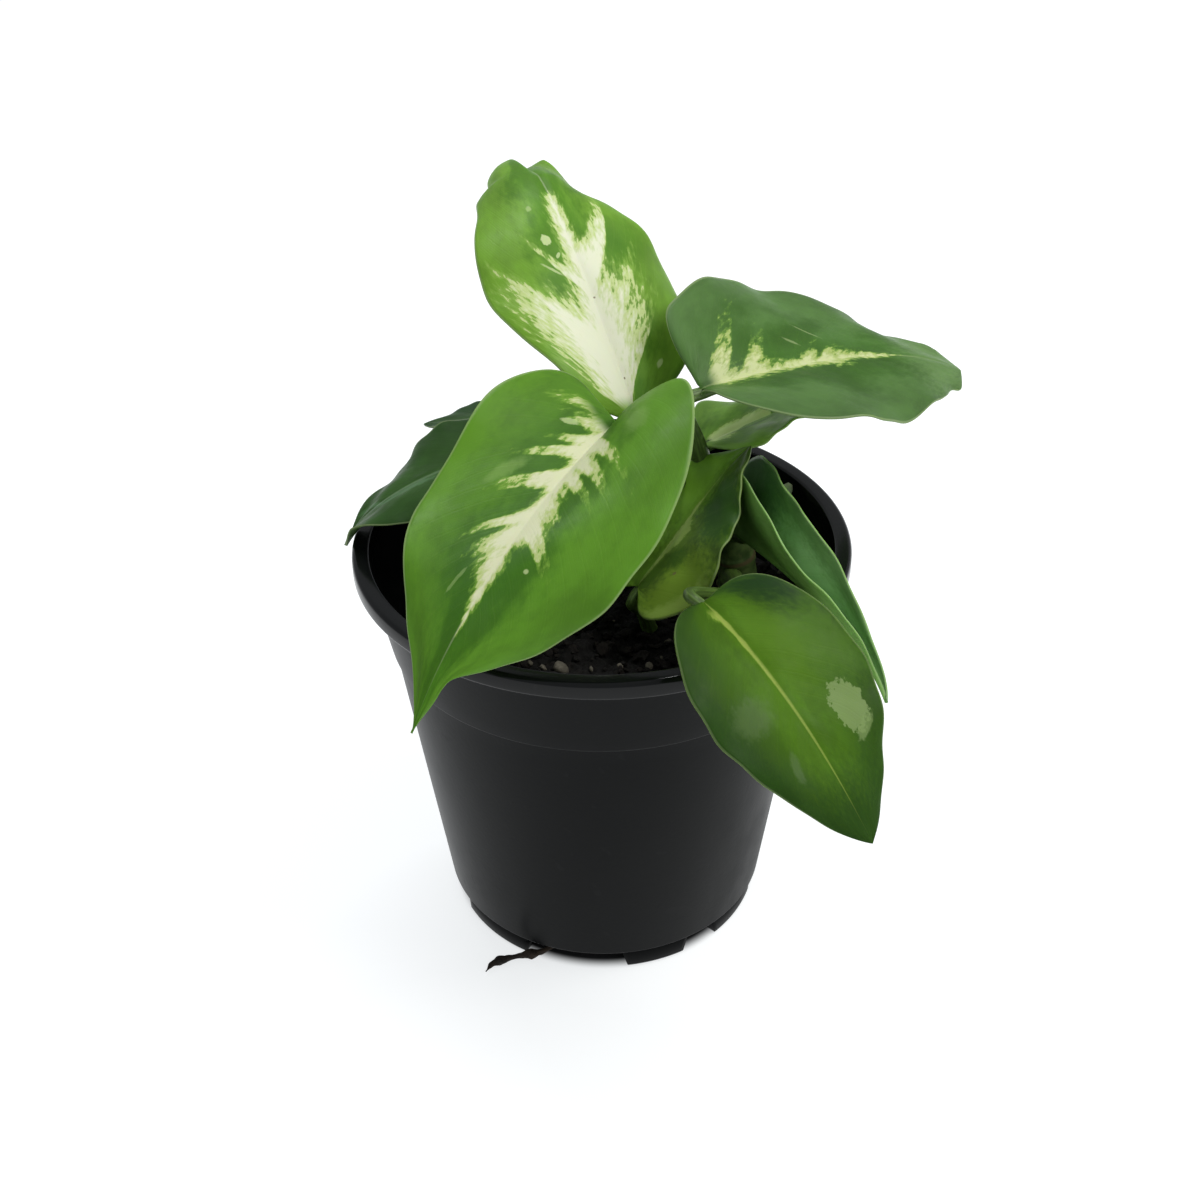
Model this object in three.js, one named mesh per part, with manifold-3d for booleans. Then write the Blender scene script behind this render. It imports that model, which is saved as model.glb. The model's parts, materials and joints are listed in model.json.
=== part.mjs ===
// Potted dieffenbachia: a young variegated dumb cane in a round 105 mm nursery pot of black plastic.
// Lengths are in millimetres and angles in degrees. +Z is up, the origin is the middle of the pot's
// underside, and -Y is the front, where the largest leaf hangs over the rim.
import * as THREE from "three";
import { mergeVertices } from "three/addons/utils/BufferGeometryUtils.js";
import Module from "manifold-3d";

const wasm = await Module();
wasm.setup();

// ---- driving sizes -------------------------------------------------------------------------------

const DEG = Math.PI / 180;
const CLEARANCE = 0.35; // gap between a piece and the plain hole it stands in
const SINK = 0.8; // how far one portion of a solid reaches into the next one

const POT = {
  rimRadius: 52.5, // widest point of the rolled lip
  height: 92.2,
  lipDrop: 3.8, // height of the lip's outer face
  lipInset: 3.1, // lip's overhang beyond the collar
  mouthRadius: 48.8, // lip's inner edge
  stepHeight: 70.5, // seam where the collar meets the tapered wall
  stepRadius: 45.3, // tapered wall's radius under the seam
  stepOut: 0.7,
  stepSlope: 0.5, // height over which the collar steps out
  wall: 1.2,
  baseRadius: 36.6, // wall's lower edge
  floor: 5.2, // underside of the floor, above the surface the feet stand on
  floorThickness: 1.6,
  sides: 48,
};
// Radii of the pot's rounded edges.
const ROUND = { base: 0.6, lipLow: 0.7, lipTop: 1.1, lipInner: 0.6 };
// Each end of a foot has a low step, so the foot is a few degrees shorter where it stands.
const FOOT = { outerRadius: 35.4, innerRadius: 29, stepBearing: 3, stepHeight: 2 };
// Each foot's first and last bearing: 0 at the front, and positive to the right.
const FEET = [[5, 32], [42, 74], [85, 122], [133, 165], [175, 208], [218, 247], [256, 285], [295, 332]];
const BOSS_RADIUS = 9; // flat land in the middle of the underside
const DRAIN = { innerRadius: 20, outerRadius: 33, width: 6 };
const DRAIN_BEARINGS = [-18, 37, 80, 128, 170, 213, 251, 290];

const SOIL = { level: 70.5, mound: 2.2, moundRadius: 16, rings: 9 };
// Waves of the soil's surface, each with its height, its length and the way it runs, from +X.
const SOIL_WAVES = [[0.55, 15.3, 41], [0.55, 15.3, -41], [0.5, 6.2, -34], [0.17, 2.3, 57], [0.17, 2.5, -21]];
// proud is the share of a crumb's size by which its middle stands above the soil.
const CRUMB = { count: 30, smallest: 1.0, largest: 2.4, narrowest: 0.75, flatness: 0.7, proud: 0.15 };

const STEM = {
  foot: [31, 12, 50],
  middle: [29.5, 11, 79],
  top: [23, 9.5, 101],
  footRadius: 5.2,
  topRadius: 3.4,
  nodeSpacing: 7.5, // between the ring scars that old leaves left
  ring: 0.35, // height of a ring scar
  endShare: 0.35, // the tip's radius as a share of topRadius
  closing: 6, // how fast the stem narrows to its tip
  steps: 22,
  sides: 10,
};

const BLADE = {
  thickness: 0.7,
  rib: 1.3, // height of the rib under the blade, at the base
  ribTaper: 0.7, // power with which the rib runs out to the tip
  along: 18, // rows of the blade's grid
  lobePeak: 0.09, // share of the length where the base reaches furthest back
  lobePower: 1.7, // how fast that reach grows to the margin
  sweepPower: 1.4,
};
// Shares of the half width where the blade's grid lines lie, from the left margin to the right one.
const ACROSS = [-1, -0.72, -0.38, -0.08, 0, 0.08, 0.38, 0.72, 1];
const STALK = {
  radius: 1.5,
  footRadius: 2.6,
  footTaper: 1.6, // the foot has run out at 1 / footTaper of the way
  endTaper: 0.45, // share of the radius that is lost at the blade's end
  steps: 10,
  sides: 7,
};
// The stalk's way into the blade: points along the midrib and under it, and the place where it ends, as
// a share of the midrib's length and a depth under the blade.
const STALK_JOINT = [[-3.5, 1.6], [1, 0.8]];
const STALK_END = { along: 0.12, depth: 0.6 };

// Each leaf: base is where the blade meets its stalk, length runs along the midrib, heading and pitch
// aim the midrib there, turn, bend and droop change them over its length (droop with the cube of it),
// roll and twist tip the blade about the midrib. left and right are the half widths seen from above.
// fullness and taper shape the outline at the base and tip, lobe is how far the base reaches back, and
// sweep carries the margin forward. foldLeft, foldRight and foldTip lift the halves out of flat, curl
// turns each half further out to its margin, and swell widens it near the base and slims it at the tip.
// wave is the height of the margin's waves, waves their number, and phase where they start.
// stalkFrom is the place of the stalk's foot, and stalkVia a point that the stalk passes.
const LEAVES = {
  leaf_top: {
    base: [8, 10, 113.5], length: 80.2, heading: 126.5, turn: -21, pitch: 53.5, bend: -10, droop: -80,
    roll: -2, twist: -3, left: 21, right: 20.5, fullness: 0.71, taper: 0.84, sweep: 0.035, lobe: 0,
    foldLeft: 54, foldRight: 27.5, foldTip: -2.5, curlLeft: -53, curlRight: -40,
    swellLeft: 0.1, swellRight: 0.28, waveLeft: 1.1, waveRight: 2.3, waves: 2.5,
    phaseLeft: -0.22, phaseRight: -0.1, stalkFrom: [22, 11, 97], stalkVia: [15, 9.5, 104], green: 0x74a03c,
  },
  leaf_large_front: {
    base: [3.5, -3, 120], length: 81.5, heading: 242, turn: -7, pitch: 2, bend: -37, droop: -18,
    roll: -13, twist: 37, left: 28, right: 25.5, fullness: 0.54, taper: 1.48, sweep: 0.02, lobe: 8,
    foldLeft: 60, foldRight: 51, foldTip: -12, curlLeft: -41, curlRight: 4,
    swellLeft: -0.1, swellRight: -0.15, waveLeft: 0.9, waveRight: -1.6, waves: 2.6,
    phaseLeft: 0, phaseRight: 0.15, stalkFrom: [22, 6.5, 95], stalkVia: [11.5, 1.5, 109], green: 0x4f9a2c,
  },
  leaf_right: {
    base: [20.5, 5, 123.5], length: 66, heading: 26, turn: -3, pitch: 3, bend: -11, droop: -25,
    roll: -6, twist: -6, left: 26.5, right: 22.5, fullness: 0.52, taper: 0.86, sweep: 0.04, lobe: 4.5,
    foldLeft: 41, foldRight: 32, foldTip: -5, curlLeft: -13, curlRight: -16,
    swellLeft: 0.1, swellRight: 0.05, waveLeft: 1.5, waveRight: 0.9, waves: 2.7,
    phaseLeft: -0.3, phaseRight: 0.25, stalkFrom: [23, 7.5, 99], stalkVia: [20, 5.5, 111], green: 0x3f7a35,
  },
  leaf_small_right: {
    base: [21.5, 12, 107], length: 34, heading: 16, turn: -15, pitch: 16, bend: 10, droop: -6,
    roll: 8, twist: 14, left: 14, right: 14.5, fullness: 0.62, taper: 0.92, sweep: 0.06, lobe: 0,
    foldLeft: 15, foldRight: 9, foldTip: 10, curlLeft: -15, curlRight: -13,
    swellLeft: 0, swellRight: 0.05, waveLeft: 0.3, waveRight: 0.4, waves: 2.2,
    phaseLeft: 0.2, phaseRight: 0.25, stalkFrom: [24, 11.5, 98], stalkVia: [21.5, 11.5, 103], green: 0x5f9a3a,
  },
  leaf_low_upright: {
    base: [7.5, -9, 85], length: 37.5, heading: 25, turn: -6, pitch: 44, bend: 22, droop: -29,
    roll: -2, twist: 10, left: 11, right: 17.5, fullness: 0.65, taper: 0.95, sweep: 0.04, lobe: 6.5,
    foldLeft: 41, foldRight: 14, foldTip: 13, curlLeft: 0, curlRight: -23,
    swellLeft: -0.05, swellRight: 0.1, waveLeft: -0.6, waveRight: 0.8, waves: 2.4,
    phaseLeft: 0.1, phaseRight: 0.2, stalkFrom: [13, 1, 56], stalkVia: [8.5, -6.5, 77], green: 0x5f8f35,
  },
  leaf_folded_right: {
    base: [29, 7, 88.5], length: 64, heading: -82, turn: 40, pitch: 22, bend: -35, droop: -51,
    roll: 11, twist: -23, left: 15.5, right: 14, fullness: 0.42, taper: 1, sweep: -0.08, lobe: 7,
    foldLeft: 75, foldRight: 76, foldTip: 60, curlLeft: 20, curlRight: 20,
    swellLeft: 0.1, swellRight: 0.2, waveLeft: 1, waveRight: 1, waves: 2.3,
    phaseLeft: -0.3, phaseRight: 0.4, stalkFrom: [29, 10, 78], stalkVia: [29, 9, 84], green: 0x3f7a38,
  },
  leaf_low_front: {
    base: [19, -40, 102], length: 55, heading: -48, turn: 1, pitch: -18, bend: -39, droop: 7,
    roll: -5, twist: -4, left: 18.5, right: 16.5, fullness: 0.58, taper: 0.94, sweep: 0.05, lobe: 3,
    foldLeft: 19, foldRight: 19, foldTip: -2, curlLeft: -3, curlRight: -7,
    swellLeft: 0.05, swellRight: 0.1, waveLeft: 0.7, waveRight: -0.1, waves: 2,
    phaseLeft: 0.1, phaseRight: 0.4, stalkFrom: [28.5, 7, 76], stalkVia: [28, -14, 86], green: 0x4c7f2e,
  },
  leaf_left: {
    base: [-14, 14, 106], length: 48, heading: 205, turn: -14, pitch: 4, bend: -32, droop: -35,
    roll: 6, twist: -25, left: 16, right: 15.5, fullness: 0.54, taper: 0.99, sweep: 0.02, lobe: 3.5,
    foldLeft: 2.5, foldRight: 15, foldTip: 3.5, curlLeft: -11.5, curlRight: -12,
    swellLeft: 0, swellRight: 0.05, waveLeft: 1.8, waveRight: 1.25, waves: 2.1,
    phaseLeft: 0.41, phaseRight: 0.49, stalkFrom: [25.5, 13.5, 86], stalkVia: [6, 15.5, 100], green: 0x3b6f33,
  },
  leaf_back_left: {
    base: [-2, 24, 104], length: 39, heading: 166, turn: 0, pitch: 6, bend: -18, droop: -6,
    roll: 0, twist: 0, left: 9.5, right: 9.5, fullness: 0.6, taper: 0.95, sweep: 0.05, lobe: 2.5,
    foldLeft: 12, foldRight: 12, foldTip: 4, curlLeft: -10, curlRight: -10,
    swellLeft: 0, swellRight: 0, waveLeft: 0.6, waveRight: 0.6, waves: 2.4,
    phaseLeft: 0.2, phaseRight: 0.6, stalkFrom: [27, 15.5, 84], stalkVia: [12, 22, 98], green: 0x3b6f33,
  },
};

const STUB = { foot: [33, 13.5, 80], tip: [42, 21.5, 91.5], radius: 1.5, endFlat: 0.12, steps: 4 };

const ROOTS = {
  crown: [31, 12, 44.5],
  crownRadius: 5.4,
  crownFoot: 3.8, // the crown's radius at its lower end
  crownHeight: 4.6,
  sides: 5,
  thick: 1.1, // a root's radius at the crown, and at its tip
  thin: 0.55,
  taper: 1.8, // a root has reached its tip's radius at 1 / taper of its way
  knotLength: 0.018, // share of the first root's way
  firstSteps: 32,
  steps: 9,
};
// Each root's way from the crown down through the soil. The first one leaves by the drain gap under the
// front left of the wall and lies on the surface, with two thicker knots near its tip.
const ROOT_PATHS = [
  [[30, 10, 43], [14, -6, 28], [-2, -20, 14], [-8.5, -27, 7.6], [-9.5, -29.8, 5.2], [-13.8, -33.4, 3.6],
    [-18.5, -33.6, 2.4], [-22.4, -33.6, 1.3], [-25.5, -35, 1.2], [-27, -37, 0.8]],
  [[32, 10, 43], [33, -2, 30], [26, -16, 16], [14, -24, 11]],
  [[33, 14, 43], [33.5, 17, 28], [24, 22, 14], [10, 28, 10]],
  [[29, 13, 43], [12, 16, 26], [-10, 18, 14], [-24, 8, 11]],
  [[28, 10, 43], [12, 4, 36], [-8, -2, 24], [-22, -12, 13]],
];
const KNOTS = [[0.87, 1.15], [0.95, 1.05]]; // share of the first root's way, and radius there

// ---- helpers -------------------------------------------------------------------------------------

const vector = (place) => new THREE.Vector3(...place);
const mix = (a, b, t) => a + (b - a) * t;

// A repeatable draw between 0 and 1.
function seededDraw(seed) {
  let state = seed;
  return () => {
    state = (state * 16807) % 2147483647;
    return state / 2147483647;
  };
}

function geometryOf(places, triangles) {
  const geometry = new THREE.BufferGeometry();
  const numbers = places.flatMap((place) => place.toArray());
  geometry.setAttribute("position", new THREE.Float32BufferAttribute(numbers, 3));
  geometry.setIndex(triangles);
  return geometry;
}

function solidOf(geometry) {
  const bare = geometry.clone();
  bare.deleteAttribute("normal");
  bare.deleteAttribute("uv");
  const merged = mergeVertices(bare, 1e-4);
  const corners = merged.index.array;
  const triVerts = [];
  for (let i = 0; i < corners.length; i += 3) {
    const [a, b, c] = [corners[i], corners[i + 1], corners[i + 2]];
    if (a !== b && b !== c && c !== a) triVerts.push(a, b, c);
  }
  return new wasm.Manifold(new wasm.Mesh({
    numProp: 3,
    vertProperties: new Float32Array(merged.attributes.position.array),
    triVerts: new Uint32Array(triVerts),
  }));
}

function geometryFrom(solid) {
  const mesh = solid.getMesh();
  const geometry = new THREE.BufferGeometry();
  geometry.setAttribute("position", new THREE.BufferAttribute(mesh.vertProperties, 3));
  geometry.setIndex(new THREE.BufferAttribute(mesh.triVerts, 1));
  geometry.computeVertexNormals();
  return geometry;
}

const unite = (solids) => solids.reduce((sum, next) => sum.add(next));

// The largest body of a cut solid, without the scraps that the cut left.
const withoutScraps = (solid) => solid.decompose().sort((a, b) => b.volume() - a.volume())[0];

function named(name, solid, color, roughness) {
  const mesh = new THREE.Mesh(
    geometryFrom(solid),
    new THREE.MeshStandardMaterial({ color, roughness, metalness: 0 }),
  );
  mesh.name = name;
  return mesh;
}

// A round rod along a curve. radiusAt gives its radius for a share of the way.
function rod(curve, radiusAt, steps, sides) {
  const frames = curve.computeFrenetFrames(steps, false);
  const places = [];
  const triangles = [];
  for (let i = 0; i <= steps; i += 1) {
    const centre = curve.getPointAt(i / steps);
    const radius = radiusAt(i / steps);
    for (let j = 0; j < sides; j += 1) {
      const angle = (2 * Math.PI * j) / sides;
      places.push(centre.clone()
        .addScaledVector(frames.normals[i], radius * Math.cos(angle))
        .addScaledVector(frames.binormals[i], radius * Math.sin(angle)));
    }
  }
  for (let i = 0; i < steps; i += 1) {
    for (let j = 0; j < sides; j += 1) {
      const here = i * sides + j;
      const beside = i * sides + ((j + 1) % sides);
      triangles.push(here, beside, here + sides, beside, beside + sides, here + sides);
    }
  }
  const start = places.push(curve.getPointAt(0)) - 1;
  const end = places.push(curve.getPointAt(1)) - 1;
  for (let j = 0; j < sides; j += 1) {
    const next = (j + 1) % sides;
    triangles.push(start, next, j, end, steps * sides + j, steps * sides + next);
  }
  return solidOf(geometryOf(places, triangles));
}

const smoothPath = (places) => new THREE.CatmullRomCurve3(places, false, "centripetal");

// ---- pot -----------------------------------------------------------------------------------------

const collarTop = POT.height - POT.lipDrop;

// Outer radius of the tapered wall at a height, and of the collar above it.
const taperRadius = (height) =>
  mix(POT.baseRadius, POT.stepRadius, (height - POT.floor) / (POT.stepHeight - POT.floor));
const collarRadius = (height) =>
  mix(POT.stepRadius + POT.stepOut, POT.rimRadius - POT.lipInset,
    (height - POT.stepHeight) / (collarTop - POT.stepHeight));

// Profile points on an arc round a centre, from one angle to another.
const arc = (centre, radius, from, to, steps) => Array.from({ length: steps + 1 }, (_, i) => {
  const angle = mix(from, to, i / steps) * DEG;
  return [centre[0] + radius * Math.cos(angle), centre[1] + radius * Math.sin(angle)];
});

// Cup wall, step, rolled lip and floor, turned in one piece.
function potShell() {
  const { height, rimRadius, mouthRadius, baseRadius, stepHeight, wall, floor, floorThickness } = POT;
  const floorTop = floor + floorThickness;
  const profile = [
    [0, floor],
    ...arc([baseRadius - ROUND.base, floor + ROUND.base], ROUND.base, -90, 0, 2),
    [taperRadius(stepHeight), stepHeight],
    [collarRadius(stepHeight), stepHeight + POT.stepSlope],
    [collarRadius(collarTop), collarTop],
    ...arc([rimRadius - ROUND.lipLow, collarTop + ROUND.lipLow], ROUND.lipLow, -75, 0, 2),
    ...arc([rimRadius - ROUND.lipTop, height - ROUND.lipTop], ROUND.lipTop, 15, 90, 3),
    ...arc([mouthRadius + ROUND.lipInner, height - ROUND.lipInner], ROUND.lipInner, 90, 180, 2),
    [collarRadius(collarTop) - wall, collarTop - wall],
    [collarRadius(stepHeight) - wall, stepHeight + wall],
    [taperRadius(stepHeight) - wall, stepHeight - wall / 3],
    [taperRadius(floorTop) - wall, floorTop],
    [0, floorTop],
  ];
  const points = profile.map(([r, z]) => new THREE.Vector2(r, z));
  const turned = new THREE.LatheGeometry(points, POT.sides);
  turned.rotateX(Math.PI / 2);
  return solidOf(turned);
}

// A point of the ground plan at a bearing from the front, positive to the right.
const planPoint = (radius, bearing) =>
  new THREE.Vector2(radius * Math.sin(bearing * DEG), -radius * Math.cos(bearing * DEG));

// A block in the shape of a ring sector, from one bearing to another.
function sectorBlock(inner, outer, from, to, bottom, top, bearingStep = 8) {
  const count = Math.max(2, Math.round((to - from) / bearingStep));
  const bearings = Array.from({ length: count + 1 }, (_, i) => mix(from, to, i / count));
  const outline = [
    ...bearings.map((b) => planPoint(outer, b)),
    ...bearings.reverse().map((b) => planPoint(inner, b)),
  ];
  const shape = new THREE.Shape(outline);
  const block = new THREE.ExtrudeGeometry(shape, { depth: top - bottom, bevelEnabled: false });
  block.translate(0, 0, bottom);
  return solidOf(block);
}

// A foot of the pot, from one bearing to another.
function foot([from, to]) {
  const { innerRadius, outerRadius, stepBearing, stepHeight } = FOOT;
  const [lowFrom, lowTo] = [from + stepBearing, to - stepBearing];
  const low = sectorBlock(innerRadius, outerRadius, lowFrom, lowTo, 0, stepHeight + SINK);
  const high = sectorBlock(innerRadius, outerRadius, from, to, stepHeight, POT.floor + SINK);
  return low.add(high);
}

function drainSlot(bearing) {
  const length = DRAIN.outerRadius - DRAIN.innerRadius;
  const slot = new THREE.BoxGeometry(DRAIN.width, length, 4 * POT.floorThickness);
  slot.translate(0, -(DRAIN.outerRadius + DRAIN.innerRadius) / 2, POT.floor + POT.floorThickness / 2);
  slot.rotateZ(bearing * DEG);
  return solidOf(slot);
}

function pot() {
  const bossHeight = POT.floor + SINK;
  const boss = new THREE.CylinderGeometry(BOSS_RADIUS, BOSS_RADIUS, bossHeight, 32);
  boss.rotateX(Math.PI / 2);
  boss.translate(0, 0, bossHeight / 2);
  return unite([potShell(), solidOf(boss), ...FEET.map(foot)])
    .subtract(unite(DRAIN_BEARINGS.map(drainSlot)));
}

// ---- leaves --------------------------------------------------------------------------------------

// Unit vectors at a share of the midrib: along it, across it to the right, and up out of the blade.
function leafFrame(leaf, along) {
  const heading = (leaf.heading + leaf.turn * along) * DEG;
  const pitch = (leaf.pitch + leaf.bend * along + leaf.droop * along ** 3) * DEG;
  const roll = (leaf.roll + leaf.twist * along) * DEG;
  const forward = new THREE.Vector3(
    Math.cos(pitch) * Math.cos(heading),
    Math.cos(pitch) * Math.sin(heading),
    Math.sin(pitch),
  );
  const level = new THREE.Vector3(Math.sin(heading), -Math.cos(heading), 0);
  const upright = level.clone().cross(forward);
  const right = level.clone().multiplyScalar(Math.cos(roll)).addScaledVector(upright, Math.sin(roll));
  const up = upright.clone().multiplyScalar(Math.cos(roll)).addScaledVector(level, -Math.sin(roll));
  return { forward, right, up };
}

// The midrib's place at a share of its length: the sum of short steps along its direction.
function midribPoint(leaf, along) {
  const steps = 24;
  const place = vector(leaf.base);
  for (let i = 0; i < steps; i += 1) {
    const { forward } = leafFrame(leaf, (along * (i + 0.5)) / steps);
    place.addScaledVector(forward, (leaf.length * along) / steps);
  }
  return place;
}

// Half width as a share of the widest: a power of the way from the base and one of the way to the tip.
function outline(leaf, along) {
  const { fullness, taper } = leaf;
  const widest = fullness / (fullness + taper);
  const peak = widest ** fullness * (1 - widest) ** taper;
  return (along ** fullness * (1 - along) ** taper) / peak;
}

// A point of the blade: along is 0 at the stalk and 1 at the tip, and across runs from -1 at the left
// margin to 1 at the right one. Each half is an arc that leaves the midrib at the fold's angle. lift is
// the distance above the blade's middle surface.
function bladePoint(leaf, along, across, lift) {
  const leftHalf = across < 0;
  const side = Math.sign(across);
  const out = Math.abs(across);
  const { forward, right, up } = leafFrame(leaf, along);
  const swell = leftHalf ? leaf.swellLeft : leaf.swellRight;
  const shape = outline(leaf, along);
  const width = (leftHalf ? leaf.left : leaf.right) * shape * (1 + swell * Math.sin(2 * Math.PI * along));
  const near = (1 - along) ** 2;
  const fold = ((leftHalf ? leaf.foldLeft : leaf.foldRight) * near + leaf.foldTip * (1 - near)) * DEG;
  const curl = (leftHalf ? leaf.curlLeft : leaf.curlRight) * DEG;
  const halfTurn = (curl * out) / 2;
  const chord = width * out * (Math.abs(halfTurn) < 1e-6 ? 1 : Math.sin(halfTurn) / halfTurn);
  const phase = leftHalf ? leaf.phaseLeft : leaf.phaseRight;
  const waveHeight = leftHalf ? leaf.waveLeft : leaf.waveRight;
  const wave = waveHeight * Math.sin(2 * Math.PI * (leaf.waves * along + phase));
  const rise = chord * Math.sin(fold + halfTurn) + wave * out ** 3 * Math.min(1, 3 * shape);
  const lobeShare = along / BLADE.lobePeak;
  const back = leaf.lobe * lobeShare * Math.exp(1 - lobeShare) * out ** BLADE.lobePower;
  const ahead = leaf.length * leaf.sweep * 4 * along * (1 - along) * out ** BLADE.sweepPower;
  const tilt = along > 0 && along < 1 ? fold + curl * out : 0;
  return midribPoint(leaf, along)
    .addScaledVector(right, side * chord * Math.cos(fold + halfTurn) - side * lift * Math.sin(tilt))
    .addScaledVector(up, rise + lift * Math.cos(tilt))
    .addScaledVector(forward, ahead - back);
}

// The blade as one thin closed solid, with its rib standing out underneath. Both faces have the same
// grid and the same diagonals, and each end of the grid is one point.
function blade(leaf) {
  const rows = BLADE.along;
  const columns = ACROSS.length;
  const places = [];
  const faceStart = [];
  const half = BLADE.thickness / 2;
  for (const top of [true, false]) {
    faceStart.push(places.length);
    for (let i = 0; i <= rows; i += 1) {
      const along = (1 - Math.cos((Math.PI * i) / rows)) / 2;
      const isEnd = i === 0 || i === rows;
      const rib = BLADE.rib * (1 - along) ** BLADE.ribTaper;
      for (const across of isEnd ? [0] : ACROSS) {
        const lift = top ? half : -half - (across === 0 ? rib : 0);
        places.push(bladePoint(leaf, along, across, lift));
      }
    }
  }
  const index = (face, i, j) => {
    if (i === 0) return faceStart[face];
    const row = faceStart[face] + 1 + (i - 1) * columns;
    return i === rows ? row : row + j;
  };
  const triangles = [];
  const quad = (a, b, c, d) => triangles.push(a, b, c, a, c, d);
  for (let i = 0; i < rows; i += 1) {
    for (let j = 0; j < columns - 1; j += 1) {
      quad(index(0, i, j), index(0, i, j + 1), index(0, i + 1, j + 1), index(0, i + 1, j));
      triangles.push(index(1, i, j), index(1, i + 1, j + 1), index(1, i, j + 1));
      triangles.push(index(1, i, j), index(1, i + 1, j), index(1, i + 1, j + 1));
    }
    const last = columns - 1;
    quad(index(1, i, 0), index(0, i, 0), index(0, i + 1, 0), index(1, i + 1, 0));
    quad(index(0, i, last), index(1, i, last), index(1, i + 1, last), index(0, i + 1, last));
  }
  return solidOf(geometryOf(places, triangles));
}

// The leafstalk's way from the stem into the underside of the blade's midrib.
function stalkPath(leaf) {
  const { forward, up } = leafFrame(leaf, 0);
  return smoothPath([
    vector(leaf.stalkFrom),
    vector(leaf.stalkVia),
    ...STALK_JOINT.map(([along, depth]) =>
      vector(leaf.base).addScaledVector(forward, along).addScaledVector(up, -depth)),
    midribPoint(leaf, STALK_END.along)
      .addScaledVector(leafFrame(leaf, STALK_END.along).up, -STALK_END.depth),
  ]);
}

function stalk(leaf, extra = 0) {
  const { footRadius, radius, footTaper, endTaper, steps, sides } = STALK;
  const footShare = (t) => Math.min(1, footTaper * t);
  const radiusAt = (t) => mix(footRadius, radius, footShare(t)) * (1 - endTaper * t ** 6) + extra;
  return rod(stalkPath(leaf), radiusAt, steps, sides);
}

// ---- stem, roots and soil ------------------------------------------------------------------------

const stemPath = smoothPath([vector(STEM.foot), vector(STEM.middle), vector(STEM.top)]);

// The stem tapers upwards, and each old leaf has left a low ring round it.
function stem(extra = 0) {
  const length = stemPath.getLength();
  return rod(stemPath, (t) => {
    const ring = STEM.ring * Math.max(0, Math.cos((2 * Math.PI * t * length) / STEM.nodeSpacing)) ** 2;
    const close = Math.min(1, STEM.closing * (1 - t) + STEM.endShare);
    return mix(STEM.footRadius, STEM.topRadius, t) * close + ring + extra;
  }, STEM.steps, STEM.sides);
}

function rootCrown(extra = 0) {
  const { crown, crownRadius, crownFoot, crownHeight } = ROOTS;
  const height = crownHeight + 2 * extra;
  const knob = new THREE.CylinderGeometry(crownRadius + extra, crownFoot + extra, height, 12);
  knob.rotateX(Math.PI / 2);
  knob.translate(...crown);
  return solidOf(knob);
}

function root(places, isFirst, extra) {
  const { thick, thin, taper, knotLength, firstSteps, steps, sides } = ROOTS;
  const bulges = (t) => (isFirst ? KNOTS : [])
    .map(([centre, radius]) => (radius - thin) * Math.exp(-(((t - centre) / knotLength) ** 2)));
  const radiusAt = (t) => mix(thick, thin, Math.min(1, taper * t)) + Math.max(0, ...bulges(t)) + extra;
  return rod(smoothPath(places.map(vector)), radiusAt, isFirst ? firstSteps : steps, sides);
}

const roots = (extra = 0) =>
  unite([rootCrown(extra), ...ROOT_PATHS.map((places, i) => root(places, i === 0, extra))]);

// Height of the soil's crumbly surface, a little higher round the stem.
function soilHeight(x, y) {
  const waves = SOIL_WAVES.map(([height, length, way]) =>
    height * Math.sin((2 * Math.PI * (x * Math.cos(way * DEG) + y * Math.sin(way * DEG))) / length));
  const fromStem = Math.hypot(x - STEM.middle[0], y - STEM.middle[1]);
  const mound = SOIL.mound * Math.exp(-((fromStem / SOIL.moundRadius) ** 2));
  return waves.reduce((sum, wave) => sum + wave, SOIL.level + mound);
}

// The soil fills the pot to 0.35 mm from its wall and floor.
function soilBody() {
  const floorTop = POT.floor + POT.floorThickness + CLEARANCE;
  const sideHeights = [SOIL.level - 2, SOIL.level / 2, floorTop];
  const { sides } = POT;
  const places = [];
  const ring = (radiusAt, heightAt) => {
    for (let j = 0; j < sides; j += 1) {
      const angle = (2 * Math.PI * j) / sides;
      const [x, y] = [radiusAt * Math.sin(angle), -radiusAt * Math.cos(angle)];
      places.push(new THREE.Vector3(x, y, heightAt(x, y)));
    }
  };
  const edge = (height) => taperRadius(height) - POT.wall - CLEARANCE;
  places.push(new THREE.Vector3(0, 0, soilHeight(0, 0)));
  for (let i = 1; i <= SOIL.rings; i += 1) ring((edge(sideHeights[0]) * i) / SOIL.rings, soilHeight);
  for (const height of sideHeights) ring(edge(height), () => height);
  const bands = SOIL.rings + sideHeights.length;
  const triangles = [];
  for (let j = 0; j < sides; j += 1) {
    const next = (j + 1) % sides;
    triangles.push(0, 1 + j, 1 + next);
    for (let i = 0; i < bands - 1; i += 1) {
      const [a, b] = [1 + i * sides + j, 1 + i * sides + next];
      triangles.push(a, a + sides, b, b, a + sides, b + sides);
    }
  }
  const bottom = places.push(new THREE.Vector3(0, 0, floorTop)) - 1;
  for (let j = 0; j < sides; j += 1) {
    const lastRing = 1 + (bands - 1) * sides;
    triangles.push(bottom, lastRing + ((j + 1) % sides), lastRing + j);
  }
  return solidOf(geometryOf(places, triangles));
}

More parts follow.
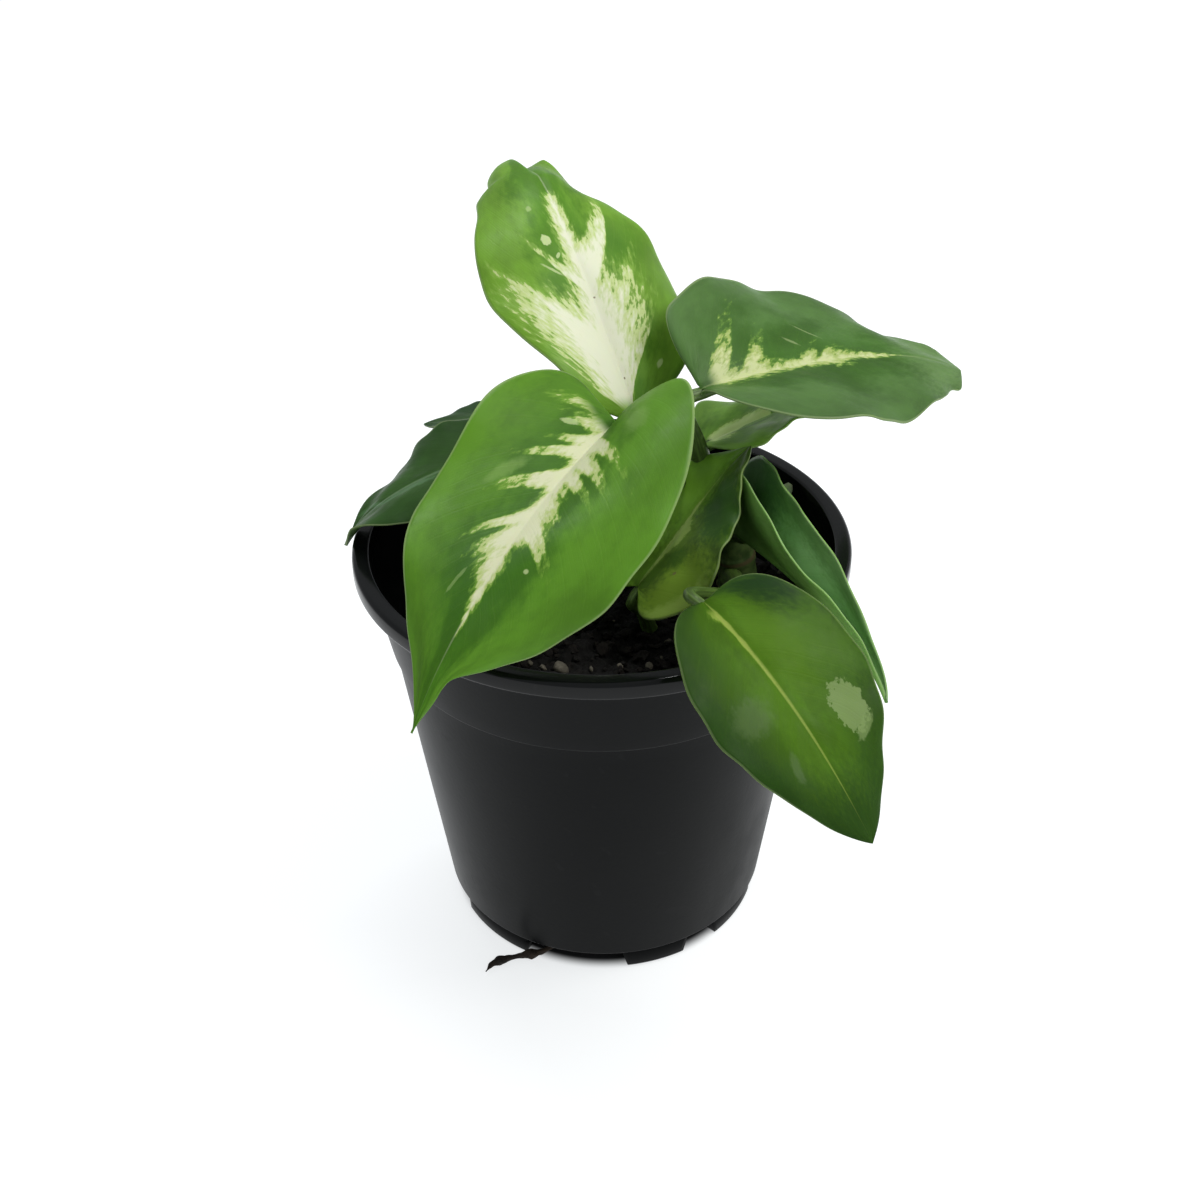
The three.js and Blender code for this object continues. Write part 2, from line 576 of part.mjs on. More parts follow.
// Perlite and bark crumbs, sunk half into the surface.
function crumbs() {
  const draw = seededDraw(11);
  return Array.from({ length: CRUMB.count }, () => {
    const radius = (taperRadius(SOIL.level) - POT.wall - SINK - CRUMB.largest) * Math.sqrt(draw());
    const angle = 2 * Math.PI * draw();
    const size = mix(CRUMB.smallest, CRUMB.largest, draw() ** 2);
    const [x, y] = [radius * Math.cos(angle), radius * Math.sin(angle)];
    const crumb = new THREE.OctahedronGeometry(size, 0);
    crumb.scale(1, mix(CRUMB.narrowest, 1, draw()), CRUMB.flatness);
    crumb.rotateZ(2 * Math.PI * draw());
    crumb.translate(x, y, soilHeight(x, y) + CRUMB.proud * size);
    return solidOf(crumb);
  });
}

function soil() {
  const stalkHoles = Object.values(LEAVES).map((leaf) => stalk(leaf, CLEARANCE));
  const holes = [stem(CLEARANCE), roots(CLEARANCE), ...stalkHoles];
  return withoutScraps(unite([soilBody(), ...crumbs()]).subtract(unite(holes)));
}

// ---- assembly ------------------------------------------------------------------------------------

// The stub of a leafstalk that was cut off.
function stub(extra = 0) {
  const path = new THREE.LineCurve3(vector(STUB.foot), vector(STUB.tip));
  const radiusAt = (t) => STUB.radius * Math.sqrt(Math.max(STUB.endFlat, 1 - t ** 8)) + extra;
  return rod(path, radiusAt, STUB.steps, STALK.sides);
}

const plant = new THREE.Group();
plant.add(named("pot", pot(), 0x151515, 0.38));
plant.add(named("soil", soil(), 0x1d1611, 0.95));
plant.add(named("roots", roots(), 0x4a3323, 0.8));
plant.add(named("stem", stem(), 0x47662c, 0.5));

// Leaves leave room for the stem and for each other's stalks.
const room = [stem(CLEARANCE)];
for (const [name, leaf] of Object.entries(LEAVES)) {
  const whole = withoutScraps(blade(leaf).add(stalk(leaf)).subtract(unite(room)));
  plant.add(named(name, whole, leaf.green, 0.42));
  room.push(stalk(leaf, CLEARANCE));
}
plant.add(named("leafstalk_stub", withoutScraps(stub().subtract(unite(room))), 0x9db07a, 0.5));

export default plant;
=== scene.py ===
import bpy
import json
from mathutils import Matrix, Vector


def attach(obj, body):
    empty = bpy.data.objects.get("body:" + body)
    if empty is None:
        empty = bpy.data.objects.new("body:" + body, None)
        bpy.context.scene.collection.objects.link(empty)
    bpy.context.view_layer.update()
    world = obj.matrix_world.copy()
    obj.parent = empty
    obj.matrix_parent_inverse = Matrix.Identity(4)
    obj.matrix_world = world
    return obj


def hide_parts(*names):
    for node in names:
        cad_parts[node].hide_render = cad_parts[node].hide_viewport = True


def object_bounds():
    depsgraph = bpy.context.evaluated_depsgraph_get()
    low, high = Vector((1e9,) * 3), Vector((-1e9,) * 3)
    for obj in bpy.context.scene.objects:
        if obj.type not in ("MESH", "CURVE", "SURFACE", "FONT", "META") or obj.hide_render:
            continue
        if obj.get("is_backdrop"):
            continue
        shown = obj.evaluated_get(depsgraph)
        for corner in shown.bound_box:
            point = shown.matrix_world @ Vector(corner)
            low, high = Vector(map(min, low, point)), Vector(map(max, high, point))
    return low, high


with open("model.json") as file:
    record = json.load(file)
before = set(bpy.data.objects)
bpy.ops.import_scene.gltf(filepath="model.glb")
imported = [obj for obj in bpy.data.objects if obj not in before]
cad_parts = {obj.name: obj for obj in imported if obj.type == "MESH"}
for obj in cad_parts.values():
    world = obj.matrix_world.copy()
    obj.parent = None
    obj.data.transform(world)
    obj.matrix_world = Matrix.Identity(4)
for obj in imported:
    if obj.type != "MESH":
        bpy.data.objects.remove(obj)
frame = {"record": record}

# Potted dieffenbachia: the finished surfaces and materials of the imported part. Lengths are in millimetres
# and angles in degrees, as a maker would write them, and mesh_object turns the places into metres.
import inspect
import json
import math

import bpy
import numpy as np
from bpy.props import FloatProperty, FloatVectorProperty, IntProperty, PointerProperty
from mathutils import Euler, Vector

bl_info = {
    "name": "Potted dieffenbachia",
    "version": (1, 0, 0),
    "blender": (4, 5, 0),
    "location": "3D View > Sidebar > Plant",
    "description": "Builds a young variegated dumb cane in a black nursery pot",
    "category": "Add Mesh",
}

CAD_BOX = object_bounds()
MM = 0.001
CLEARANCE = 0.35  # gap between a solid and the plain hole or wall round it
SINK = 0.8  # how far one portion of a solid reaches into the next one

# ---- the plant's sizes -------------------------------------------------------------------------------

POT = dict(
    rim_radius=52.5, height=92.2, lip_drop=3.8, lip_inset=3.1, mouth_radius=48.8, step_height=70.5,
    step_radius=45.3, step_out=0.7, step_slope=0.5, wall=1.2, base_radius=36.6, floor=5.2,
    floor_thickness=1.6,
)
FLOOR_TOP = POT["floor"] + POT["floor_thickness"]
ROUND = dict(base=0.6, lip_low=0.7, lip_top=1.1, lip_inner=0.6)  # radii of the pot's rounded edges
FOOT = dict(outer=35.4, inner=29.0, end_slope=3.0, sloping=3.5)
FEET = [(5, 32), (42, 74), (85, 122), (133, 165), (175, 208), (218, 247), (256, 285), (295, 332)]
LAND_RADIUS = 9.0
DRAIN = dict(inner=20.0, outer=33.0, width=6.0, steps=4)
DRAIN_BEARINGS = [-18, 37, 80, 128, 170, 213, 251, 290]

SOIL = dict(level=70.5, mound=2.2, mound_radius=16, rings=130, columns=300)
# Waves of the soil's surface: (height, length, way it runs from +X).
SOIL_WAVES = [(0.55, 15.3, 41), (0.55, 15.3, -41), (0.5, 6.2, -34), (0.17, 2.3, 57), (0.17, 2.5, -21)]
# Pale crumbs that catch the eye near the front of the soil: (x, y, radius).
FRONT_CRUMBS = [(-8.8, -18.9, 1.7), (-12.5, -19.6, 1.0), (-15.3, -16.7, 0.9), (9.6, -18.6, 0.8),
                (-42.2, 10.3, 0.9), (40.0, 14.0, 1.0), (13.9, -10.1, 0.9), (3.5, -19.5, 0.7),
                (-2.5, -19.0, 0.6)]
STEM = dict(foot=(31, 12, 50), middle=(29.5, 11, 79), top=(23, 9.5, 101), foot_radius=5.2, top_radius=3.4,
            node_spacing=7.5)
STALK = dict(radius=1.5, foot_radius=2.6)
STUB = dict(foot=(33, 13.5, 80), tip=(42, 21.5, 91.5), radius=1.5)
BLADE = dict(thickness=0.7, rib=1.3, rib_reach=1.1, furrow=0.28, furrow_reach=0.9, crease=0.9,
             vein_spacing=4.6, lobe_end=0.09)

AIM = dict(camera=(-0.0005, 0, 0.0756), lamps=(0, 0, 0.08))  # where they look, in metres

# The roots' ways from the crown, as in the solids. The first one comes out under the pot, and has knots at
# (share of its way, radius).
ROOTS = dict(crown=(31, 12, 44.5), crown_radius=5.4, crown_height=4.6, thick=1.1, thin=0.55)
ROOT_PATHS = [
    [(30, 10, 43), (14, -6, 28), (-2, -20, 14), (-8.5, -27, 7.6), (-9.5, -29.8, 5.2), (-13.8, -33.4, 3.6),
     (-18.5, -33.6, 2.4), (-22.4, -33.6, 1.3), (-25.5, -35, 1.2), (-27, -37, 0.8)],
    [(32, 10, 43), (33, -2, 30), (26, -16, 16), (14, -24, 11)],
    [(33, 14, 43), (33.5, 17, 28), (24, 22, 14), (10, 28, 10)],
    [(29, 13, 43), (12, 16, 26), (-10, 18, 14), (-24, 8, 11)],
    [(28, 10, 43), (12, 4, 36), (-8, -2, 24), (-22, -12, 13)],
]
KNOTS = [(0.87, 1.15), (0.95, 1.05)]

# Each leaf: base is where the blade meets its stalk, length runs along the midrib, and the first number of
# heading, pitch and roll aims the blade there. The numbers after it change the aim over the length, the
# last one of pitch mostly near the tip. width, fold, curl, swell, wave and phase are for the left and the
# right half, and fold's third number is for the tip. outline is (fullness near the base, taper near the
# tip), sweep how far the margins run ahead of the midrib and lobe how far they reach back at the base.
# waves counts the waves along a margin, and stalk holds where the leafstalk starts and a place it passes.
LEAVES = {
    "leaf_top": dict(
        base=(8, 10, 113.5), length=80.2, heading=(126.5, -21), pitch=(53.5, -10, -80), roll=(-2, -3),
        width=(21, 20.5), outline=(0.71, 0.84), sweep=0.035, lobe=0, fold=(54, 27.5, -2.5), curl=(-53, -40),
        swell=(0.1, 0.28), wave=(1.1, 2.3), waves=2.5, phase=(-0.22, -0.1),
        stalk=((22, 11, 97), (15, 9.5, 104)),
    ),
    "leaf_large_front": dict(
        base=(3.5, -3, 120), length=81.5, heading=(242, -7), pitch=(2, -37, -18), roll=(-13, 37),
        width=(28, 25.5), outline=(0.54, 1.48), sweep=0.02, lobe=8, fold=(60, 51, -12), curl=(-41, 4),
        swell=(-0.1, -0.15), wave=(0.9, -1.6), waves=2.6, phase=(0, 0.15),
        stalk=((22, 6.5, 95), (11.5, 1.5, 109)),
    ),
    "leaf_right": dict(
        base=(20.5, 5, 123.5), length=66, heading=(26, -3), pitch=(3, -11, -25), roll=(-6, -6),
        width=(26.5, 22.5), outline=(0.52, 0.86), sweep=0.04, lobe=4.5, fold=(41, 32, -5), curl=(-13, -16),
        swell=(0.1, 0.05), wave=(1.5, 0.9), waves=2.7, phase=(-0.3, 0.25),
        stalk=((23, 7.5, 99), (20, 5.5, 111)),
    ),
    "leaf_small_right": dict(
        base=(21.5, 12, 107), length=34, heading=(16, -15), pitch=(16, 10, -6), roll=(8, 14),
        width=(14, 14.5), outline=(0.62, 0.92), sweep=0.06, lobe=0, fold=(15, 9, 10), curl=(-15, -13),
        swell=(0, 0.05), wave=(0.3, 0.4), waves=2.2, phase=(0.2, 0.25),
        stalk=((24, 11.5, 98), (21.5, 11.5, 103)),
    ),
    "leaf_low_upright": dict(
        base=(7.5, -9, 85), length=37.5, heading=(25, -6), pitch=(44, 22, -29), roll=(-2, 10),
        width=(11, 17.5), outline=(0.65, 0.95), sweep=0.04, lobe=6.5, fold=(41, 14, 13), curl=(0, -23),
        swell=(-0.05, 0.1), wave=(-0.6, 0.8), waves=2.4, phase=(0.1, 0.2),
        stalk=((13, 1, 56), (8.5, -6.5, 77)),
    ),
    "leaf_folded_right": dict(
        base=(29, 7, 88.5), length=64, heading=(-82, 40), pitch=(22, -35, -51), roll=(11, -23),
        width=(15.5, 14), outline=(0.42, 1), sweep=-0.08, lobe=7, fold=(75, 76, 60), curl=(20, 20),
        swell=(0.1, 0.2), wave=(1, 1), waves=2.3, phase=(-0.3, 0.4), stalk=((29, 10, 78), (29, 9, 84)),
    ),
    "leaf_low_front": dict(
        base=(19, -40, 102), length=55, heading=(-48, 1), pitch=(-18, -39, 7), roll=(-5, -4),
        width=(18.5, 16.5), outline=(0.58, 0.94), sweep=0.05, lobe=3, fold=(19, 19, -2), curl=(-3, -7),
        swell=(0.05, 0.1), wave=(0.7, -0.1), waves=2, phase=(0.1, 0.4), stalk=((28.5, 7, 76), (28, -14, 86)),
    ),
    "leaf_left": dict(
        base=(-14, 14, 106), length=48, heading=(205, -14), pitch=(4, -32, -35), roll=(6, -25),
        width=(16, 15.5), outline=(0.54, 0.99), sweep=0.02, lobe=3.5, fold=(2.5, 15, 3.5), curl=(-11.5, -12),
        swell=(0, 0.05), wave=(1.8, 1.25), waves=2.1, phase=(0.41, 0.49),
        stalk=((25.5, 13.5, 86), (6, 15.5, 100)),
    ),
    "leaf_back_left": dict(
        base=(-2, 24, 104), length=39, heading=(166, 0), pitch=(6, -18, -6), roll=(0, 0), width=(9.5, 9.5),
        outline=(0.6, 0.95), sweep=0.05, lobe=2.5, fold=(12, 12, 4), curl=(-10, -10), swell=(0, 0),
        wave=(0.6, 0.6), waves=2.4, phase=(0.2, 0.6), stalk=((27, 15.5, 84), (12, 22, 98)),
    ),
}

# How each leaf is coloured. inner and outer are the greens near the midrib and near the margin, zone is
# where one turns into the other, as shares of the way out, and under is the underside. left_cream and
# right_cream give how far the cream reaches from the midrib, as (place where the side vein leaves the
# midrib, share of the half width), and vein_slope is how far forwards a side vein runs. cream_edge colours
# the cream's thin outer zone and halo the yellowish green round it, with the strength halo_share. band is
# the width of the flecked zone on each half and fleck its strength. patches lie under the cream and marks
# over it: (along, across, length, width, slant, softness, share, colour); a few patches are painted shade
# or a painted highlight, as noted at each. nicks change the margin: (along, side, depth, reach before,
# reach after), where a negative depth widens the blade. dent hollows the blade near its tip: (depth, reach
# on the left, on the right). tone is painted light and shade: the brightness of each half, raised or
# lowered for how light falls on it. rib and edge are the strengths of the pale midrib and margin, and
# sheen is the gloss. A leaf's own values come before the usual ones.
GREYGREEN, CREAM_SPOT, SPECK = (0.20, 0.29, 0.10), (0.50, 0.60, 0.28), (0.15, 0.12, 0.05)
USUAL_LOOK = dict(zone=(0.3, 0.8), vein_slope=0.3, halo_share=0.6, rib=0.3, tone=(1, 1), edge=0.4,
                  sheen=0.15, marks=(), patches=(), nicks=(), dent=(0, 1, 1))
LOOKS = {
    "leaf_top": dict(
        outer=(0.138, 0.292, 0.026), inner=(0.082, 0.215, 0.013), zone=(0.25, 0.6), under=(0.17, 0.3, 0.06),
        cream=(0.69, 0.71, 0.54), cream_edge=(0.47, 0.57, 0.22), halo=(0.26, 0.42, 0.08), vein_slope=0.36,
        seed=3, band=(0.11, 0.14), fleck=0.85, rib=0.35,
        patches=[(0.48, 0.5, 0.07, 0.35, 0, 0.6, 0.6, (0.07, 0.2, 0.012))], dent=(3, 1.6, 9), tone=(1, 0.9),
        left_cream=[(-0.2, 0.6), (-0.15, 0.76), (0, 0.78), (0.107, 0.76), (0.16, 0.72), (0.19, 0.6),
            (0.21, 0.45), (0.247, 0.3), (0.3, 0.2), (0.335, 0.17), (0.355, 0.36), (0.372, 0.34),
            (0.39, 0.14), (0.46, 0.125), (0.56, 0.12), (0.62, 0.08), (0.66, 0.04), (0.71, -0.1)],
        right_cream=[(-0.2, 0.03), (0.04, 0.08), (0.055, 0.4), (0.1, 0.44), (0.14, 0.41), (0.185, 0.4),
            (0.24, 0.46), (0.27, 0.3), (0.32, 0.24), (0.345, 0.19), (0.362, 0.5), (0.385, 0.68),
            (0.405, 0.58), (0.43, 0.4), (0.456, 0.22), (0.49, 0.08), (0.6, 0.08), (0.66, 0.04),
            (0.72, -0.05)],
        marks=[(0.515, -0.27, 0.016, 0.05, 0, 0.1, 0.9, CREAM_SPOT),
            (0.47, -0.2, 0.006, 0.03, 20, 0.2, 0.8, CREAM_SPOT),
            (0.43, -0.32, 0.005, 0.08, -20, 0.3, 0.7, CREAM_SPOT),
            (0.62, -0.33, 0.01, 0.03, 0, 0.3, 0.4, CREAM_SPOT),
            (0.12, 0.57, 0.01, 0.04, 0, 0.3, 0.5, CREAM_SPOT),
            (0.345, 0.02, 0.003, 0.012, 0, 0.3, 0.9, SPECK), (0.12, 0.03, 0.003, 0.012, 0, 0.3, 0.9, SPECK)],
        nicks=[(0.79, -1, 0.14, 0.006, 0.06), (0.05, -1, -0.5, 0.05, 0.07), (0.07, 1, -0.3, 0.07, 0.09)],
    ),
    "leaf_large_front": dict(
        outer=(0.084, 0.215, 0.014), inner=(0.048, 0.148, 0.007), zone=(0.15, 0.6), under=(0.14, 0.25, 0.05),
        cream=(0.59, 0.61, 0.4), cream_edge=(0.39, 0.48, 0.16), halo=(0.18, 0.34, 0.04), halo_share=0.7,
        vein_slope=0.27, seed=8, band=(0.1, 0.1), fleck=0.9, rib=0.35, nicks=[(0.86, -1, 0.45, 0.05, 0.06)],
        tone=(1, 0.85),
        left_cream=[(-0.2, -0.1), (0, -0.05), (0.05, 0.04), (0.09, 0.12), (0.11, 0.38), (0.13, 0.42),
            (0.155, 0.2), (0.18, 0.34), (0.205, 0.36), (0.225, 0.15), (0.24, 0.26), (0.26, 0.28),
            (0.285, 0.12), (0.33, 0.14), (0.36, 0.2), (0.4, 0.18), (0.42, 0.32), (0.44, 0.34), (0.465, 0.12),
            (0.5, 0.06), (0.6, 0.05), (0.7, 0.035), (0.76, 0.01), (0.8, -0.05)],
        right_cream=[(-0.2, 0.1), (-0.12, 0.5), (-0.08, 0.6), (-0.03, 0.35), (0.03, 0.3), (0.07, 0.12),
            (0.095, 0.28), (0.11, 0.26), (0.13, 0.15), (0.145, 0.38), (0.165, 0.36), (0.185, 0.12),
            (0.22, 0.06), (0.245, 0.25), (0.265, 0.36), (0.285, 0.32), (0.305, 0.12), (0.34, 0.06),
            (0.39, 0.16), (0.405, 0.36), (0.42, 0.34), (0.435, 0.15), (0.46, 0.26), (0.48, 0.26),
            (0.52, 0.2), (0.56, 0.14), (0.62, 0.08), (0.7, 0.03), (0.77, -0.02)],
        patches=[(0.6, 0.1, 0.16, 0.45, 0, 0.7, 0.6, (0.034, 0.118, 0.008)),
            (0.35, 0.92, 0.22, 0.16, 0, 0.6, 0.6, (0.115, 0.285, 0.016)),
            (0.2, 0.3, 0.14, 0.25, 0, 0.6, 0.5, (0.05, 0.145, 0.012)),
            (0.33, 0.46, 0.03, 0.1, 40, 0.5, 0.45, (0.2, 0.34, 0.08)),
            (0.13, -0.52, 0.03, 0.1, 0, 0.5, 0.4, (0.2, 0.34, 0.09))],
        marks=[(0.64, 0.34, 0.012, 0.07, 50, 0.2, 0.45, (0.24, 0.36, 0.12)),
            (0.555, -0.27, 0.006, 0.02, 0, 0.3, 0.6, CREAM_SPOT),
            (0.12, 0.36, 0.012, 0.07, 20, 0.2, 0.6, CREAM_SPOT)],
    ),
    "leaf_right": dict(
        outer=(0.072, 0.155, 0.037), inner=(0.045, 0.122, 0.015), zone=(0.25, 0.7), under=(0.1, 0.18, 0.05),
        cream=(0.53, 0.58, 0.29), cream_edge=(0.3, 0.4, 0.1), halo=(0.14, 0.27, 0.04), halo_share=0.7,
        seed=14, band=(0.12, 0.12), fleck=1.15, tone=(1, 0.9),
        left_cream=[(-0.1, 0), (-0.03, 0.12), (0, 0.3), (0.03, 0.44), (0.065, 0.4), (0.09, 0.14),
            (0.13, 0.1), (0.155, 0.24), (0.19, 0.26), (0.22, 0.1), (0.3, 0.05), (0.36, 0.07), (0.39, 0.13),
            (0.42, 0.05), (0.45, 0.1), (0.5, 0.07), (0.6, 0.04), (0.7, 0.02), (0.78, -0.02)],
        right_cream=[(-0.1, 0), (0, 0.14), (0.1, 0.13), (0.2, 0.09), (0.3, 0.06), (0.38, 0.08), (0.45, 0.12),
            (0.52, 0.06), (0.65, 0.04), (0.78, -0.02)],
        marks=[(0.44, -0.34, 0.004, 0.08, 40, 0.4, 0.3, CREAM_SPOT),
            (0.37, -0.24, 0.006, 0.05, 40, 0.4, 0.3, CREAM_SPOT)],
        patches=[(0.9, 0, 0.14, 1, 0, 0.7, 0.6, (0.15, 0.26, 0.09)),
            (0.16, -0.5, 0.12, 0.3, 0, 0.6, 0.5, (0.05, 0.125, 0.02))],
        nicks=[(1, -1, -1.6, 0.05, 0.05), (1, 1, -1.6, 0.05, 0.05), (0.93, -1, 0.15, 0.01, 0.02),
            (0.04, -1, -0.28, 0.05, 0.06)],
    ),
    "leaf_small_right": dict(
        # Painted light: this leaf lies in the shade of leaf_right, so its greens, underside and cream are
        # set lighter than a real leaf's, up to full green in the cream.
        outer=(0.22, 0.44, 0.05), inner=(0.17, 0.37, 0.035), under=(0.2, 0.34, 0.08), cream=(0.82, 1, 0.42),
        cream_edge=(0.58, 0.8, 0.22), halo=(0.3, 0.52, 0.08), seed=21, band=(0.08, 0.08), fleck=0.3,
        marks=[(0.3, 0.2, 0.16, 0.05, 0, 0.4, 0.6, (0.1, 0.22, 0.03))], nicks=[(0.06, -1, -1, 0.06, 0.14)],
        left_cream=[(-0.2, 0.15), (0, 0.16), (0.12, 0.26), (0.22, 0.3), (0.32, 0.3), (0.42, 0.22),
            (0.5, -0.05), (0.85, -0.1)],
        right_cream=[(-0.2, 0.45), (-0.08, 0.42), (0.05, 0.34), (0.16, 0.22), (0.28, 0.02), (0.4, -0.1),
            (0.85, -0.1)],
    ),
    "leaf_low_upright": dict(
        outer=(0.085, 0.185, 0.014), inner=(0.075, 0.165, 0.012), under=(0.24, 0.36, 0.08),
        cream=(0.36, 0.48, 0.15), cream_edge=(0.24, 0.36, 0.08), halo=(0.15, 0.26, 0.03), halo_share=0.5,
        seed=27, band=(0.3, 0.3), fleck=0.3, rib=0.5, marks=[(0.23, 0.47, 0.01, 0.02, 0, 0.3, 0.8, SPECK)],
        # Painted shade: tone darkens the right half, which the leaves above shade.
        tone=(1, 0.7),
        left_cream=[(-0.2, -0.1), (0.1, 0), (0.3, 0.03), (0.5, 0.03), (0.65, 0), (0.8, -0.1)],
        right_cream=[(-0.2, -0.1), (0.05, 0), (0.2, 0.04), (0.27, 0.16), (0.36, 0.2), (0.44, 0.14),
            (0.5, 0.04), (0.62, 0), (0.8, -0.1)],
        patches=[(0.62, -0.5, 0.34, 0.55, 0, 0.6, 0.85, (0.17, 0.37, 0.03)),
            (0.22, 0.72, 0.2, 0.36, 0, 0.5, 0.8, (0.22, 0.37, 0.03)),
            (0.2, 0.92, 0.14, 0.12, 0, 0.4, 0.7, (0.32, 0.48, 0.09)),
            (0.29, 0.3, 0.06, 0.13, 0, 0.4, 0.7, (0.045, 0.12, 0.008)),
            # Painted shadow: this last patch darkens the upper part of the right half, where the leaves
            # above cast their shadow.
            (0.66, 0.6, 0.18, 0.42, 0, 0.35, 0.8, (0.018, 0.065, 0.01))],
    ),
    "leaf_folded_right": dict(
        # Painted light: this leaf's greens and underside are set lighter to offset the shade inside its
        # fold, and tone raises its right half further.
        outer=(0.135, 0.275, 0.085), inner=(0.118, 0.25, 0.068), under=(0.2, 0.42, 0.075),
        cream=(0.23, 0.38, 0.15), cream_edge=(0.18, 0.33, 0.12), halo=(0.15, 0.28, 0.08), halo_share=0.5,
        seed=33, band=(0.2, 0.2), fleck=0.1, tone=(1, 1.25),
        left_cream=[(-0.2, -0.1), (0.1, 0.05), (0.25, 0.2), (0.35, 0.24), (0.45, 0.1), (0.6, 0),
            (0.8, -0.1)],
        right_cream=[(-0.2, -0.1), (0.1, 0.02), (0.4, 0.04), (0.6, 0), (0.8, -0.1)],
        # Painted highlight: the first patch lightens a band on the left half where the fold catches light.
        patches=[(0.55, -0.35, 0.25, 0.28, 0, 0.7, 0.85, (0.32, 0.56, 0.24)),
            (0.2, -0.7, 0.15, 0.4, 0, 0.5, 0.6, (0.05, 0.13, 0.06))],
    ),
    "leaf_low_front": dict(
        outer=(0.032, 0.082, 0.009), inner=(0.06, 0.145, 0.008), zone=(0.25, 0.85), under=(0.12, 0.2, 0.04),
        cream=(0.25, 0.33, 0.06), cream_edge=(0.2, 0.29, 0.045), halo=(0.12, 0.22, 0.02), seed=41,
        band=(0.07, 0.07), fleck=0.05, rib=1, sheen=0.06, edge=0.2, tone=(1, 0.85),
        left_cream=[(-0.2, -0.05), (0, 0.04), (0.15, 0.03), (0.3, 0.01), (0.6, 0), (0.8, -0.02), (1, -0.1)],
        right_cream=[(-0.2, 0.05), (0, 0.22), (0.05, 0.14), (0.1, 0.06), (0.2, 0.03), (0.4, 0.01),
            (0.8, -0.02), (1, -0.1)],
        # Painted shadow: the first patch darkens the left half near the base, where a fold shades it.
        patches=[(0.12, -0.75, 0.09, 0.25, 0, 0.4, 0.8, (0.01, 0.034, 0.009)),
            (0.25, -0.3, 0.18, 0.3, 0, 0.7, 0.6, (0.085, 0.185, 0.01)),
            (0.42, 0.5, 0.06, 0.25, 0, 0.4, 0.5, (0.09, 0.15, 0.05)),
            (0.64, 0.5, 0.035, 0.11, 30, 0.4, 0.5, (0.1, 0.16, 0.06)),
            (0.55, 0.15, 0.3, 0.2, 0, 0.7, 0.5, (0.08, 0.185, 0.01)),
            (0.33, -0.72, 0.14, 0.3, 0, 0.6, 0.6, (0.075, 0.17, 0.014)),
            (0.93, 0, 0.17, 1.1, 0, 0.8, 0.85, (0.018, 0.052, 0.008)),
            (0.5, 0.95, 0.3, 0.2, 0, 0.6, 0.6, (0.016, 0.05, 0.007))],
        marks=[(0.55, -0.6, 0.085, 0.21, -8, 0.06, 0.8, GREYGREEN),
            (0.63, -0.72, 0.03, 0.12, 20, 0.2, 0.6, GREYGREEN)],
    ),
    "leaf_left": dict(
        outer=(0.026, 0.074, 0.013), inner=(0.029, 0.082, 0.013), under=(0.06, 0.11, 0.03),
        cream=(0.11, 0.19, 0.085), cream_edge=(0.09, 0.17, 0.07), halo=(0.08, 0.15, 0.06), seed=52,
        band=(0.2, 0.2), fleck=0.1, rib=0.6, sheen=0.1,
        left_cream=[(-0.2, 0), (0.1, 0.03), (0.5, 0.05), (0.8, 0.02), (1, -0.1)],
        right_cream=[(-0.2, -0.1), (0.1, 0), (0.5, 0), (0.8, 0), (1, -0.1)],
        marks=[(0.62, -0.15, 0.15, 0.07, 0, 0.5, 0.6, (0.1, 0.21, 0.09)),
            (0.8, 0.3, 0.022, 0.4, 15, 0.5, 0.5, (0.1, 0.21, 0.09))],
    ),
    "leaf_back_left": dict(
        outer=(0.035, 0.085, 0.028), inner=(0.045, 0.1, 0.03), under=(0.06, 0.11, 0.03),
        cream=(0.12, 0.2, 0.085), cream_edge=(0.1, 0.18, 0.07), halo=(0.085, 0.16, 0.055), seed=63,
        band=(0.2, 0.2), fleck=0.1, rib=0.6,
        left_cream=[(-0.2, -0.1), (0.1, 0.03), (0.5, 0.02), (0.8, 0), (1, -0.1)],
        right_cream=[(-0.2, -0.1), (0.1, 0.03), (0.5, 0.02), (0.8, 0), (1, -0.1)],
    ),
}


# ---- settings ----------------------------------------------------------------------------------------


def colour(name, description, default):
    """A colour setting."""
    return FloatVectorProperty(name=name, description=description, default=default, size=3, min=0, max=1,
                               subtype="COLOR")


def size(name, description, default):
    """A length setting, in metres."""
    return FloatProperty(name=name, description=description, default=default, unit="LENGTH", precision=5)


def angle(name, description, default):
    """An angle setting, from degrees."""
    return FloatProperty(name=name, description=description, default=math.radians(default), subtype="ANGLE")


def number(name, description, default, least=1):
    """A whole-number setting."""
    return IntProperty(name=name, description=description, default=default, min=least)


class PLANT_PG_pot(bpy.types.PropertyGroup):
    """Sizes and colours of the nursery pot."""

    rim_radius: size("Rim radius", "Widest point of the rolled lip", POT["rim_radius"] * MM)
    height: size("Height", "From the table to the top of the lip", POT["height"] * MM)
    plastic: colour("Plastic", "Colour of the black plastic", (0.0038, 0.0043, 0.0045))
    dust: colour("Dust", "Colour of the fine dust on the wall", (0.030, 0.031, 0.032))
    segments: number("Segments", "Steps round the pot", 288, 48)


class PLANT_PG_leaves(bpy.types.PropertyGroup):
    """Sizes and colours that all leaves share."""

    thickness: size("Blade thickness", "Thickness of a leaf blade", BLADE["thickness"] * MM)
    rib: size("Rib height", "Height of the midrib under the blade", BLADE["rib"] * MM)
    relief: size("Vein relief", "Depth of the furrows over the side veins", 0.00004)
    along: number("Steps along", "Grid steps along a blade", 150, 20)
    across: number("Steps across", "Grid steps across a blade", 80, 10)
    margin: colour("Margin", "Colour of the thin pale line round a blade", (0.40, 0.50, 0.24))
    stalk: colour("Leafstalk", "Colour of the leafstalks", (0.115, 0.21, 0.035))


